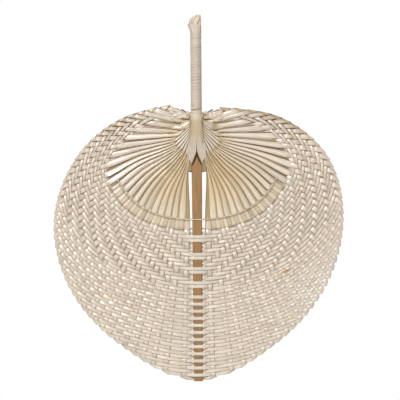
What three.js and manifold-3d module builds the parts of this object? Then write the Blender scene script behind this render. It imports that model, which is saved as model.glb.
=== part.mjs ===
// Woven bamboo hand fan: a spine slat, folded strips that are both rows and rays, and a wrapped handle.
// Millimetres, +Z up. The blade stands in the XZ plane with its front to -Y and its tip down.
// The origin is the middle of the hand grip, on the handle's axis.
import * as THREE from "three";
import { mergeVertices } from "three/addons/utils/BufferGeometryUtils.js";
import Module from "manifold-3d";

// Clearances
const LAYER_CLEARANCE = 0.3; // between pieces that lie on or fit round each other
const ROW_GAP = 0.45; // between neighbouring rows of the weave
const RAY_GAP = 0.4; // between neighbouring rays

// Strips: each one is a row of the weave and, past its two folds at the edge, two rays to the neck
const STRIP_COUNT = 42;
const STRIP_WIDTH = 4.2;
const STRIP_THICKNESS = 0.4;
const PAIR_STARTS = [1, 6, 10, 14]; // rows that cross in front of the spine together with the next row
const FIRST_SINGLE_ROW = 18; // from here on every second row crosses in front
const ROW_STEP_ANGLE = 9; // degrees of row between two stations of a strip
const SPINE_RAMP = 4.5; // run in which a row rises from the weave onto the spine

// Blade outline: reaches from the neck point, every 20 degrees from straight down
const NECK_POINT_Z = -74;
const REACH_STEP = 20;
const TIP_REACH = 241.5;
const LOWER_FLANK_REACH = 221;
const FLANK_REACH = 198;
const LEFT_SIDE_REACH = 167;
const RIGHT_SIDE_REACH = 170;
const LEFT_SHOULDER_REACH = 127;
const RIGHT_SHOULDER_REACH = 138;
const LEFT_UPPER_REACH = 89.5;
const RIGHT_UPPER_REACH = 97.5;
const LOBE_REACH = 61;
const LEFT_LOBE_TOP_REACH = 46;
const RIGHT_LOBE_TOP_REACH = 43;
const NOTCH_REACH = 31;

// Weave: it starts at an inner edge round the open rays, and rows end one by one at the outline
const INNER_REACH_SPINE = 89.7;
const INNER_REACH_SIDE = 98.5;
const INNER_SIDE_ANGLE = 56; // degrees from straight down to where the inner edge has its side reach
const LOBE_INNER_SHARE = 0.68; // inner edge's share of the outline's reach in the lobes
const INNER_EDGE_ROUNDING = 3;
const FIRST_FOLD_ANGLE = 3.5; // degrees from straight down to the fold of the tip's strip
const LAST_FOLD_ANGLE = 170; // no fold lies past this angle
const FOLD_SPAN = 97; // degrees over which the folds are evenly spread
const FOLD_TAIL = 6; // how sharply the folds thin out past that span
const SPINE_EVENING = 10; // degrees beside the spine in which the folds are wider apart

// Spine slat
const SPINE_THICKNESS = 3;
const SPINE_TIP_WIDTH = 8.6;
const SPINE_NECK_WIDTH = 10.4;
const SPINE_SHOULDER_Z = -97;
const SPINE_SHOULDER_HEIGHT = 4;
const TANG_WIDTH = 5;
const TANG_TOP_Z = 38;

// Neck gathers: the pleated inner ends of the rays, one on each side of the spine, with their rim round the
// neck point. Past the rays each gather runs on to the outline as the flat leaves beside the handle.
const GATHER_RADIUS = 22.5;
const GATHER_THICKNESS = 2.4;
const RAY_START_LOW = 20; // degrees from straight down to the tip strip's ray on the gather's rim
const RAY_START_HIGH = 130; // and to the innermost strip's ray
const LEAF_START_ANGLE = 143; // degrees from straight down to where the leaves start
const GATHER_ARC_STEPS = 24;
const LEAF_STEPS = 8;

// Handle: two half-round bundles round the tang, one wound strip and a band at the end
const BUNDLE_RADIUS = 4.4;
const BUNDLE_LOW_Z = -92;
const LEFT_BUNDLE_TOP_Z = 42.5;
const RIGHT_BUNDLE_TOP_Z = 51.2;
const BUNDLE_ARC_STEPS = 10;
const WRAP_TURNS = 23.5;
const WRAP_PITCH = 3.2;
const WRAP_WIDTH = 2.7;
const WRAP_THICKNESS = 0.5;
const WRAP_LOW_Z = -42;
const WRAP_STEPS_PER_TURN = 16;
const BAND_HEIGHT = 6.5;
const BAND_WALL = 0.8;
const BAND_FLARE = 0.6; // how much wider the band is at its top
const BAND_SIDES = 24;

// Thin strands woven through the rays before the first full row
const STRAND_WIDTH = 0.9;
const STRAND_THICKNESS = 0.5;
const LOCK_STRAND_INSET = 0.9; // from the weave's inner edge towards the neck
const ROW_STRAND_INSET = 10.2;
const STRAND_SPAN = 64; // degrees to each side of the spine
const NECK_STRAND_REACH = 32; // from the neck point
const NECK_STRAND_SPAN = 62;

// Finishes
const STRIP_FINISH = { color: 0xe3d5ba, roughness: 0.5, metalness: 0 };
const SPINE_FINISH = { color: 0xa8845d, roughness: 0.55, metalness: 0 };
const HANDLE_FINISH = { color: 0xdccfb8, roughness: 0.55, metalness: 0 };
const STRAND_FINISH = { color: 0xb99a63, roughness: 0.6, metalness: 0 };

const DEGREE = Math.PI / 180;
const MERGE_TOLERANCE = 1e-4; // mm
const ANGLE_TOLERANCE = 1e-6; // degrees
const LEFT = -1;
const RIGHT = 1;
const SIDES = [LEFT, RIGHT];
const TIP_Z = NECK_POINT_Z - TIP_REACH + LAYER_CLEARANCE;
const ROW_LAYER = STRIP_THICKNESS + LAYER_CLEARANCE; // middle of a row's layer from the rays' middle
const OVER_SPINE = SPINE_THICKNESS / 2 + LAYER_CLEARANCE + STRIP_THICKNESS / 2;

const REACHES = {
  [LEFT]: [TIP_REACH, LOWER_FLANK_REACH, FLANK_REACH, LEFT_SIDE_REACH, LEFT_SHOULDER_REACH,
    LEFT_UPPER_REACH, LOBE_REACH, LEFT_LOBE_TOP_REACH, NOTCH_REACH],
  [RIGHT]: [TIP_REACH, LOWER_FLANK_REACH, FLANK_REACH, RIGHT_SIDE_REACH, RIGHT_SHOULDER_REACH,
    RIGHT_UPPER_REACH, LOBE_REACH, RIGHT_LOBE_TOP_REACH, NOTCH_REACH],
};

const wasm = await Module();
wasm.setup();

// Solids

function toSolid(geometry) {
  const bare = geometry.clone();
  bare.deleteAttribute("normal");
  bare.deleteAttribute("uv");
  const merged = mergeVertices(bare, MERGE_TOLERANCE);
  return new wasm.Manifold(new wasm.Mesh({
    numProp: 3,
    vertProperties: new Float32Array(merged.attributes.position.array),
    triVerts: new Uint32Array(merged.index.array),
  }));
}

function toGeometry(solid) {
  const mesh = solid.getMesh();
  const geometry = new THREE.BufferGeometry();
  geometry.setAttribute("position", new THREE.BufferAttribute(mesh.vertProperties, 3));
  geometry.setIndex(new THREE.BufferAttribute(mesh.triVerts, 1));
  geometry.computeVertexNormals();
  return geometry;
}

function addMesh(group, name, geometry, finish) {
  const mesh = new THREE.Mesh(geometry, new THREE.MeshStandardMaterial(finish));
  mesh.name = name;
  group.add(mesh);
}

// A closed strip through rings of four corners each, listed in the same order round the strip.
function stripThrough(rings) {
  const positions = rings.flat().flatMap((corner) => corner.toArray());
  const triangles = [];
  const quad = (a, b, c, d) => triangles.push(a, b, c, a, c, d);
  for (let ring = 0; ring < rings.length - 1; ring += 1) {
    for (let side = 0; side < 4; side += 1) {
      const next = (side + 1) % 4;
      quad(ring * 4 + side, ring * 4 + next, ring * 4 + 4 + next, ring * 4 + 4 + side);
    }
  }
  const last = (rings.length - 1) * 4;
  quad(3, 2, 1, 0);
  quad(last, last + 1, last + 2, last + 3);
  const geometry = new THREE.BufferGeometry();
  geometry.setAttribute("position", new THREE.Float32BufferAttribute(positions, 3));
  geometry.setIndex(triangles);
  geometry.computeVertexNormals();
  return geometry;
}

// A strip that lies in the blade's plane. A station has a place on the plane, half a width, and the
// depths of its front and back faces.
function flatStrip(stations) {
  const rings = stations.map((station, index) => {
    const before = stations[Math.max(index - 1, 0)].place;
    const after = stations[Math.min(index + 1, stations.length - 1)].place;
    const along = after.clone().sub(before).normalize();
    const across = new THREE.Vector2(-along.y, along.x).multiplyScalar(station.half);
    const corner = (sign, depth) => new THREE.Vector3(
      station.place.x + sign * across.x, depth, station.place.y + sign * across.y);
    return [corner(-1, station.front), corner(-1, station.back),
      corner(1, station.back), corner(1, station.front)];
  });
  return stripThrough(rings);
}

// The weave's rule

// A smooth curve through values at whole positions, mirrored at the first one.
function smoothThrough(values, position) {
  const at = (index) => values[Math.min(Math.abs(index), values.length - 1)];
  const index = Math.floor(position);
  const t = position - index;
  const [a, b, c, d] = [at(index - 1), at(index), at(index + 1), at(index + 2)];
  const linear = c - a;
  const square = 2 * a - 5 * b + 4 * c - d;
  const cube = 3 * b - a - 3 * c + d;
  return (2 * b + linear * t + square * t * t + cube * t * t * t) / 2;
}

function edgeReach(side, angle) {
  return smoothThrough(REACHES[side], angle / REACH_STEP);
}

function innerReach(side, angle) {
  const turned = Math.min(angle / INNER_SIDE_ANGLE, 1);
  const towardsSpine = Math.cos(turned * Math.PI / 2) ** 2;
  const open = INNER_REACH_SIDE + (INNER_REACH_SPINE - INNER_REACH_SIDE) * towardsSpine;
  const lobe = edgeReach(side, angle) * LOBE_INNER_SHARE;
  const weight = (reach) => Math.exp(-reach / INNER_EDGE_ROUNDING);
  return -INNER_EDGE_ROUNDING * Math.log(weight(open) + weight(lobe));
}

function foldFullness(angle) {
  const turned = Math.hypot(angle, SPINE_EVENING) - SPINE_EVENING;
  return Math.log(1 + Math.exp(FOLD_TAIL * (1 - turned / FOLD_SPAN))) / FOLD_TAIL;
}

// How many rows are still running at an angle from straight down.
function rowsAt(angle) {
  return STRIP_COUNT * foldFullness(angle) / foldFullness(FIRST_FOLD_ANGLE);
}

function foldAngle(row) {
  let low = 0;
  let high = LAST_FOLD_ANGLE;
  while (high - low > ANGLE_TOLERANCE) {
    const middle = (low + high) / 2;
    if (rowsAt(middle) > row + 1) low = middle;
    else high = middle;
  }
  return low;
}

function rowPitch(side, angle) {
  return (edgeReach(side, angle) - STRIP_WIDTH / 2 - innerReach(side, angle)) / rowsAt(angle);
}

// A row's reach from the neck point. Past its fold it keeps the fold's reach.
function rowReach(side, row, angle) {
  const at = Math.min(angle, foldAngle(row));
  return innerReach(side, at) + rowPitch(side, at) * (row + 1);
}

function polar(side, reach, angle) {
  return new THREE.Vector2(
    side * reach * Math.sin(angle * DEGREE), NECK_POINT_Z - reach * Math.cos(angle * DEGREE));
}

function isInFront(row) {
  const paired = PAIR_STARTS.some((start) => row === start || row === start + 1);
  const single = row >= FIRST_SINGLE_ROW && (row - FIRST_SINGLE_ROW) % 2 === 0;
  return paired || single;
}

// Half of a row's width: it leaves the row gap to its neighbours, measured square to the row.
function rowHalf(side, row, angle) {
  const at = Math.min(angle, foldAngle(row));
  const nudge = 0.5; // degrees
  const slope = (rowReach(side, row, at) - rowReach(side, row, at - nudge)) / (nudge * DEGREE);
  const square = Math.cos(Math.atan2(slope, rowReach(side, row, at)));
  return Math.min(STRIP_WIDTH, rowPitch(side, at) * square - ROW_GAP) / 2;
}

// Rays

function rayLine(side, row) {
  const share = 1 - row / (STRIP_COUNT - 1);
  const angle = RAY_START_LOW + (RAY_START_HIGH - RAY_START_LOW) * share;
  const fold = foldAngle(row);
  return {
    start: polar(side, GATHER_RADIUS + LAYER_CLEARANCE, angle),
    end: polar(side, rowReach(side, row, fold), fold),
  };
}

function distanceToLine(point, line) {
  const along = line.end.clone().sub(line.start).normalize();
  return Math.abs(point.clone().sub(line.start).cross(along));
}

// Half of a ray's width where it passes a point: it leaves the ray gap to its two neighbours.
function rayHalf(side, row, point) {
  const neighbours = [row - 1, row + 1].filter((other) => other >= 0 && other < STRIP_COUNT);
  const room = Math.min(...neighbours.map((other) => distanceToLine(point, rayLine(side, other))));
  return Math.min(STRIP_WIDTH, room - RAY_GAP) / 2;
}

function rayGeometry(side, row) {
  const { start, end } = rayLine(side, row);
  const startHalf = rayHalf(side, row, start);
  const endHalf = rayHalf(side, row, end);
  const sample = 0.1; // share of the ray over which its growth in width is measured
  const growth = (rayHalf(side, row, start.clone().lerp(end, sample)) - startHalf) / sample;
  const fullAt = THREE.MathUtils.clamp((endHalf - startHalf) / growth, sample, 1 - sample);
  const outward = end.clone().sub(start).normalize();
  const past = end.clone().addScaledVector(outward, rowHalf(side, row, foldAngle(row)));
  const station = (place, half) => (
    { place, half, front: -STRIP_THICKNESS / 2, back: STRIP_THICKNESS / 2 });
  return flatStrip([
    station(start, startHalf),
    station(start.clone().lerp(end, fullAt), endHalf),
    station(past, endHalf),
  ]);
}

// Rows

function spineHalfAt(z) {
  const share = (z - TIP_Z) / (SPINE_SHOULDER_Z - TIP_Z);
  return THREE.MathUtils.lerp(SPINE_TIP_WIDTH, SPINE_NECK_WIDTH, share) / 2;
}

// Depths of a band that lies in a layer in front of the rays (-1) or behind them (1).
function layerDepths(facing, middle, thickness) {
  return { front: facing * middle - thickness / 2, back: facing * middle + thickness / 2 };
}

// Angles of a band's stations on one side of the spine, from the spine outwards. Neighbouring bands share
// the stepped ones, so that their straight runs stay side by side.
function stationAngles(reachAtSpine, lastAngle) {
  const half = spineHalfAt(NECK_POINT_Z - reachAtSpine) + LAYER_CLEARANCE;
  const angleAt = (x) => Math.asin(x / reachAtSpine) / DEGREE;
  const onSpine = angleAt(half);
  const offSpine = Math.min(angleAt(half + SPINE_RAMP), (onSpine + lastAngle) / 2);
  const shared = [];
  for (let angle = ROW_STEP_ANGLE; angle < lastAngle; angle += ROW_STEP_ANGLE) {
    if (angle > offSpine) shared.push(angle);
  }
  return { onSpine, angles: [onSpine, offSpine, ...shared, lastAngle] };
}

function rowGeometry(row) {
  const facing = isInFront(row) ? -1 : 1;
  const fold = foldAngle(row);
  const halfStations = (side) => {
    const { end } = rayLine(side, row);
    const rayEndHalf = rayHalf(side, row, end);
    const foldHalf = rayEndHalf / rowReach(side, row, fold) / DEGREE;
    const lastPlain = fold - foldHalf;
    const atFold = Math.min(rowHalf(side, row, fold), rayEndHalf);
    const { onSpine, angles } = stationAngles(rowReach(side, row, 0), lastPlain);
    const plain = angles.map((angle) => ({
      place: polar(side, rowReach(side, row, angle), angle),
      half: angle === lastPlain ? atFold : rowHalf(side, row, angle),
      ...layerDepths(facing, angle === onSpine ? OVER_SPINE : ROW_LAYER, STRIP_THICKNESS),
    }));
    const folded = [fold - foldHalf / 2, fold + foldHalf].map((angle) => ({
      place: polar(side, rowReach(side, row, angle), angle),
      half: atFold,
      front: Math.min(facing * ROW_LAYER, 0) - STRIP_THICKNESS / 2,
      back: Math.max(facing * ROW_LAYER, 0) + STRIP_THICKNESS / 2,
    }));
    return [...plain, ...folded];
  };
  return flatStrip([...halfStations(LEFT).reverse(), ...halfStations(RIGHT)]);
}

function addStrips(group) {
  for (let row = 0; row < STRIP_COUNT; row += 1) {
    const rays = SIDES.map((side) => toSolid(rayGeometry(side, row)));
    const strip = rays.reduce((joined, ray) => joined.add(ray), toSolid(rowGeometry(row)));
    addMesh(group, `strip_${String(row + 1).padStart(2, "0")}`, toGeometry(strip), STRIP_FINISH);
  }
}

// Strands

function strandGeometry(reachAt, span, facing) {
  const middle = (STRIP_THICKNESS + STRAND_THICKNESS) / 2 + LAYER_CLEARANCE;
  const overSpine = (SPINE_THICKNESS + STRAND_THICKNESS) / 2 + LAYER_CLEARANCE;
  const halfStations = (side) => {
    const { onSpine, angles } = stationAngles(reachAt(side, 0), span);
    return angles.map((angle) => ({
      place: polar(side, reachAt(side, angle), angle),
      half: STRAND_WIDTH / 2,
      ...layerDepths(facing, angle === onSpine ? overSpine : middle, STRAND_THICKNESS),
    }));
  };
  return flatStrip([...halfStations(LEFT).reverse(), ...halfStations(RIGHT)]);
}

function addStrands(group) {
  const inset = (distance) => (side, angle) => innerReach(side, angle) - distance;
  const rowStrand = strandGeometry(inset(ROW_STRAND_INSET), STRAND_SPAN, -1);
  const lockStrand = strandGeometry(inset(LOCK_STRAND_INSET), STRAND_SPAN, 1);
  const neckStrand = strandGeometry(() => NECK_STRAND_REACH, NECK_STRAND_SPAN, 1);
  addMesh(group, "row_strand", rowStrand, STRAND_FINISH);
  addMesh(group, "lock_strand", lockStrand, STRAND_FINISH);
  addMesh(group, "neck_strand", neckStrand, STRAND_FINISH);
}

// Spine and neck

// A plate of the blade's plane, extruded through its thickness and centred on the plane.
function plate(outline, thickness) {
  const geometry = new THREE.ExtrudeGeometry(outline, { depth: thickness, bevelEnabled: false });
  geometry.translate(0, 0, -thickness / 2);
  geometry.rotateX(Math.PI / 2);
  return geometry;
}

function addSpine(group) {
  const tip = SPINE_TIP_WIDTH / 2;
  const neck = SPINE_NECK_WIDTH / 2;
  const tang = TANG_WIDTH / 2;
  const shoulderTop = SPINE_SHOULDER_Z + SPINE_SHOULDER_HEIGHT;
  const rightEdge = [[tip, TIP_Z], [neck, SPINE_SHOULDER_Z], [tang, shoulderTop], [tang, TANG_TOP_Z]];
  const leftEdge = rightEdge.map(([x, z]) => [-x, z]).reverse();
  const outline = new THREE.Shape([...rightEdge, ...leftEdge].map(([x, z]) => new THREE.Vector2(x, z)));
  addMesh(group, "spine_slat", plate(outline, SPINE_THICKNESS), SPINE_FINISH);
}

// Evenly spaced values from a first to a last one.
function spread(first, last, steps) {
  return Array.from({ length: steps + 1 }, (unused, step) => THREE.MathUtils.lerp(first, last, step / steps));
}

function addGather(group, side, name) {
  const inner = Math.max(SPINE_NECK_WIDTH / 2, BUNDLE_RADIUS) + LAYER_CLEARANCE;
  const first = Math.asin(inner / GATHER_RADIUS) / DEGREE;
  const last = 180 - Math.asin(inner / NOTCH_REACH) / DEGREE;
  const rim = spread(first, LEAF_START_ANGLE, GATHER_ARC_STEPS).map(
    (angle) => polar(side, GATHER_RADIUS, angle));
  const leaves = spread(LEAF_START_ANGLE, last, LEAF_STEPS).map(
    (angle) => polar(side, edgeReach(side, angle), angle));
  addMesh(group, name, plate(new THREE.Shape([...rim, ...leaves]), GATHER_THICKNESS), STRIP_FINISH);
}

// Handle

function addBundle(group, side, topZ, name) {
  const pocketX = TANG_WIDTH / 2 + LAYER_CLEARANCE;
  const pocketY = SPINE_THICKNESS / 2 + LAYER_CLEARANCE;
  const seam = LAYER_CLEARANCE / 2;
  const first = Math.asin(seam / BUNDLE_RADIUS);
  const arc = Array.from({ length: BUNDLE_ARC_STEPS + 1 }, (unused, step) => {
    const angle = first + (Math.PI - 2 * first) * step / BUNDLE_ARC_STEPS;
    return [BUNDLE_RADIUS * Math.sin(angle), -BUNDLE_RADIUS * Math.cos(angle)];
  });
  const pocket = [[seam, pocketY], [pocketX, pocketY], [pocketX, -pocketY], [seam, -pocketY]];
  const outline = new THREE.Shape([...arc, ...pocket].map(([x, y]) => new THREE.Vector2(side * x, y)));
  const geometry = new THREE.ExtrudeGeometry(outline, { depth: topZ - BUNDLE_LOW_Z, bevelEnabled: false });
  geometry.translate(0, 0, BUNDLE_LOW_Z);
  addMesh(group, name, geometry, STRIP_FINISH);
}

// Inner radius of what is wound round the bundles, whose flat facets still clear them.
function windingRadius(sides) {
  return (BUNDLE_RADIUS + LAYER_CLEARANCE) / Math.cos(Math.PI / sides);
}

// The wound strip's stations: its ends run on straight for one strip width.
function wrapStations() {
  const radius = windingRadius(WRAP_STEPS_PER_TURN);
  const count = Math.round(WRAP_TURNS * WRAP_STEPS_PER_TURN);
  const station = (step, run) => {
    const angle = 2 * Math.PI * step / WRAP_STEPS_PER_TURN;
    const outward = new THREE.Vector3(Math.cos(angle), Math.sin(angle), 0);
    const along = new THREE.Vector3(-Math.sin(angle), Math.cos(angle), 0);
    const foot = outward.clone().multiplyScalar(radius).addScaledVector(along, run);
    foot.z = WRAP_LOW_Z + WRAP_WIDTH / 2 + WRAP_PITCH * step / WRAP_STEPS_PER_TURN;
    return { foot, outward };
  };
  const wound = Array.from({ length: count + 1 }, (unused, step) => station(step, 0));
  return [station(0, -WRAP_WIDTH), ...wound, station(count, WRAP_WIDTH)];
}

// The least gap between a turn's upper edge and the next turn's lower edge, measured on points.
function leastWrapGap(stations) {
  const up = new THREE.Vector3(0, 0, WRAP_WIDTH / 2);
  let least = Infinity;
  stations.forEach((lower, index) => {
    const edge = lower.foot.clone().add(up);
    stations.slice(index + WRAP_STEPS_PER_TURN / 2).forEach((upper) => {
      least = Math.min(least, edge.distanceTo(upper.foot.clone().sub(up)));
    });
  });
  return least;
}

function addWrap(group) {
  const stations = wrapStations();
  const rings = stations.map(({ foot, outward }) => {
    const corner = (rise, out) => foot.clone().addScaledVector(outward, out).add(
      new THREE.Vector3(0, 0, rise * WRAP_WIDTH / 2));
    return [corner(-1, 0), corner(1, 0), corner(1, WRAP_THICKNESS), corner(-1, WRAP_THICKNESS)];
  });
  console.log(`handle_wrap least gap to itself ${leastWrapGap(stations).toFixed(2)} mm`);
  addMesh(group, "handle_wrap", stripThrough(rings), HANDLE_FINISH);
}

function addEndBand(group) {
  const inner = windingRadius(BAND_SIDES);
  const low = WRAP_LOW_Z + WRAP_TURNS * WRAP_PITCH + WRAP_WIDTH + LAYER_CLEARANCE;
  const outer = inner + BAND_WALL;
  const profile = [[inner, low], [outer, low], [outer + BAND_FLARE, low + BAND_HEIGHT],
    [inner, low + BAND_HEIGHT], [inner, low]];
  const points = profile.map(([radius, z]) => new THREE.Vector2(radius, z));
  const geometry = new THREE.LatheGeometry(points, BAND_SIDES);
  geometry.rotateX(Math.PI / 2);
  addMesh(group, "end_band", geometry, HANDLE_FINISH);
}

const fan = new THREE.Group();
addSpine(fan);
addStrips(fan);
addStrands(fan);
addGather(fan, LEFT, "neck_gather_left");
addGather(fan, RIGHT, "neck_gather_right");
addBundle(fan, LEFT, LEFT_BUNDLE_TOP_Z, "handle_bundle_left");
addBundle(fan, RIGHT, RIGHT_BUNDLE_TOP_Z, "handle_bundle_right");
addWrap(fan);
addEndBand(fan);

export default fan;
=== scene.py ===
"""Looks of the woven bamboo hand fan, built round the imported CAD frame.

The blade is one weave. Each strip leaves the neck as a ray, is folded at the blade's edge, crosses the spine
as a row, is folded again at the other edge and goes back to the neck as a ray. The weave's rule gives every
strip its path, and one Geometry Nodes tree sweeps strips, strands, slat, gathers and wrap along their paths.
Paths are worked out in millimetres and degrees, and the sweep turns them into metres.
"""

import logging
import math
from dataclasses import dataclass, field, fields
from enum import Enum
from typing import Any, Sequence

import bpy
import numpy as np
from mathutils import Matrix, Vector


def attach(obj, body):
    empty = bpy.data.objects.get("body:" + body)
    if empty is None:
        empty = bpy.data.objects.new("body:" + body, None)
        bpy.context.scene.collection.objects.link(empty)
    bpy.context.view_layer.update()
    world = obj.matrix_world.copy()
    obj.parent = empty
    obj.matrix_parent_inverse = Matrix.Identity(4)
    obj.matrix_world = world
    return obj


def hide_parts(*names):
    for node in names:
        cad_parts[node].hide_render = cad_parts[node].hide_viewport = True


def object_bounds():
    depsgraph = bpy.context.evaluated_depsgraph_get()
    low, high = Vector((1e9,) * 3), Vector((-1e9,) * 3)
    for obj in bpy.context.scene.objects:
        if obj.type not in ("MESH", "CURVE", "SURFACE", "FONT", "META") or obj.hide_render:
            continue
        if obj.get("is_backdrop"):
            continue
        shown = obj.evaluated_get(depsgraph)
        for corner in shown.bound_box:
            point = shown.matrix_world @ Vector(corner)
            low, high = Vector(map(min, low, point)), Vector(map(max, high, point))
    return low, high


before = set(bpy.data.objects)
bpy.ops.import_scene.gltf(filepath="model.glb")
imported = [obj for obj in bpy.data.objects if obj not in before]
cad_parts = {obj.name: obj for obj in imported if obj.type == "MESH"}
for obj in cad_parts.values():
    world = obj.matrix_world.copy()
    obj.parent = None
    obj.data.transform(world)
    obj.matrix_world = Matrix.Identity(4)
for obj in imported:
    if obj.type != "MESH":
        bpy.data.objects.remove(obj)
scene = bpy.context.scene

log = logging.getLogger("fan")

MM = 0.001
TINY = 1e-6
FRONT = np.array([0.0, -1.0, 0.0])
WHITE = (1.0, 1.0, 1.0, 1.0)
SEED = 11
CORNER_CUT = 0.25
FEWEST_POINTS = 4
SMALL_HALF_THICKNESS = 0.32
SMALL_ROUNDS = 3
SMALL_STEP = 1.0
SMALL_RIDGE = 0.2

Colour = tuple[float, float, float, float]
Double = tuple[float, float]
Triple = tuple[float, float, float]
Array = np.ndarray
Values = Array | float
Socket = bpy.types.NodeSocket
Stops = tuple[list[float], list[float]]


class Side(Enum):
    """The fan's two halves as the photograph shows them."""

    LEFT = -1
    RIGHT = 1


class Face(Enum):
    """The blade's two faces."""

    FRONT = 1
    BACK = -1


class Slot(Enum):
    """The material slots of the pieces."""

    STRIP = "strip"
    GATHER = "gather"
    SPINE = "spine"
    WRAP = "wrap"
    STRAND = "strand"


@dataclass(frozen=True)
class Pair:
    """A value that differs between the fan's two halves."""

    left: Any
    right: Any

    def at(self, side: Side) -> Any:
        """The value of one half."""
        return self.left if side is Side.LEFT else self.right


def ease(share: Values) -> Values:
    """Levels a share off at 0 and at 1."""
    return share * share * (3 - 2 * share)


@dataclass(frozen=True)
class Ramp:
    """A smooth change from 0 at the first value to 1 at the last one, which may be the smaller of the two."""

    first: float
    last: float

    def __call__(self, value: Values) -> Values:
        """The share that is reached at a value."""
        return ease(np.clip((np.asarray(value, float) - self.first) / (self.last - self.first), 0, 1))

    def fall(self, value: Values) -> Values:
        """The share that is left at a value."""
        return 1 - self(value)


def srgb(red: int, green: int, blue: int) -> Colour:
    """Turns a colour of 0 to 255 steps into Blender's linear colour with full alpha."""
    shares = (step / 255 for step in (red, green, blue))
    return *(share / 12.92 if share <= 0.04045 else ((share + 0.055) / 1.055) ** 2.4 for share in shares), 1.0


def stretches(position: Array, stops: Sequence[float]) -> tuple[Array, Array, Array]:
    """Finds the stretch between two stops that each position lies in.

    Args:
        position: The positions.
        stops: Rising positions of the stops.

    Returns:
        The index of each stretch's first stop, the stretch's length and the share of it that is run.
    """
    places = np.asarray(stops, float)
    index = np.clip(np.searchsorted(places, position) - 1, 0, len(places) - 2)
    span = np.maximum(places[index + 1] - places[index], TINY)
    return index, span, np.clip((position - places[index]) / span, 0, 1)


def eased(position: Array, stops: Sequence[float], values: Sequence[float]) -> Array:
    """Runs smoothly from value to value, level at each stop.

    Args:
        position: Where the result is wanted.
        stops: Rising positions of the stops.
        values: The value at each stop.

    Returns:
        The values at the positions.
    """
    levels = np.asarray(values, float)
    index, _, share = stretches(position, stops)
    return levels[index] + (levels[index + 1] - levels[index]) * ease(share)


@dataclass(frozen=True)
class Profile:
    """A value that runs smoothly between rising stops and stays level outside them."""

    stops: tuple[float, ...]
    values: tuple[float, ...]

    def __call__(self, position: Values) -> Values:
        """The value at a position."""
        return eased(np.asarray(position, float), self.stops, self.values)


def arched(position: Array, stops: Sequence[float], values: Sequence[float]) -> Array:
    """Runs from value to value in one bow, level where a value is a peak among its neighbours.

    Args:
        position: Where the result is wanted.
        stops: Rising positions of the stops.
        values: The value at each stop.

    Returns:
        The values at the positions.
    """
    places = np.asarray(stops, float)
    levels = np.asarray(values, float)
    slopes = np.zeros_like(levels)
    slopes[1:-1] = (levels[2:] - levels[:-2]) / (places[2:] - places[:-2])
    index, span, share = stretches(position, stops)
    start_bow = share * (1 - share) ** 2 * span * slopes[index]
    end_bow = share * share * (share - 1) * span * slopes[index + 1]
    return eased(position, stops, values) + start_bow + end_bow


def humped(position: Values, middle: float, reach: float) -> Values:
    """A bell of height 1 about a middle."""
    return np.exp(-(((position - middle) / reach) ** 2))


def unit(vectors: Array) -> Array:
    """Scales each vector to length 1."""
    return vectors / np.maximum(np.linalg.norm(vectors, axis=-1, keepdims=True), TINY)


def run_length(points: Array) -> Array:
    """Length run along a path at each of its points."""
    return np.concatenate([[0.0], np.cumsum(np.linalg.norm(np.diff(points, axis=0), axis=1))])


def spread(value: Values, count: int) -> Array:
    """Repeats a number, or copies as many numbers."""
    return np.broadcast_to(np.asarray(value, float), (count,)).copy()


def rounded_corners(corners: Array, rounds: int) -> Array:
    """Cuts a path's corners again and again, keeping its ends.

    Args:
        corners: The path's corners.
        rounds: How often its corners are cut.

    Returns:
        The rounded path.
    """
    points = corners
    for _ in range(rounds):
        near = points[:-1] * (1 - CORNER_CUT) + points[1:] * CORNER_CUT
        far = points[:-1] * CORNER_CUT + points[1:] * (1 - CORNER_CUT)
        points = np.concatenate([points[:1], np.stack([near, far], axis=1).reshape(-1, 2), points[-1:]])
    return points


def evenly(points: Array, step: float) -> Array:
    """Spaces a path's points evenly.

    Args:
        points: The path.
        step: About how far apart the new points lie.

    Returns:
        The new points, four at least, with the path's ends among them.
    """
    length = run_length(points)
    wanted = np.linspace(0, length[-1], max(int(length[-1] / step), FEWEST_POINTS))
    return np.stack([np.interp(wanted, length, points[:, axis]) for axis in range(2)], axis=1)


def in_space(points: Array, depth: Values) -> Array:
    """Lifts points of the blade's plane towards the front by a depth."""
    return np.stack([points[:, 0], -spread(depth, len(points)), points[:, 1]], axis=1)


def ring_round(angle: Array) -> Array:
    """Directions away from the handle's axis at angles in radians."""
    return np.stack([np.cos(angle), np.sin(angle), np.zeros_like(angle)], axis=1)


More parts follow.
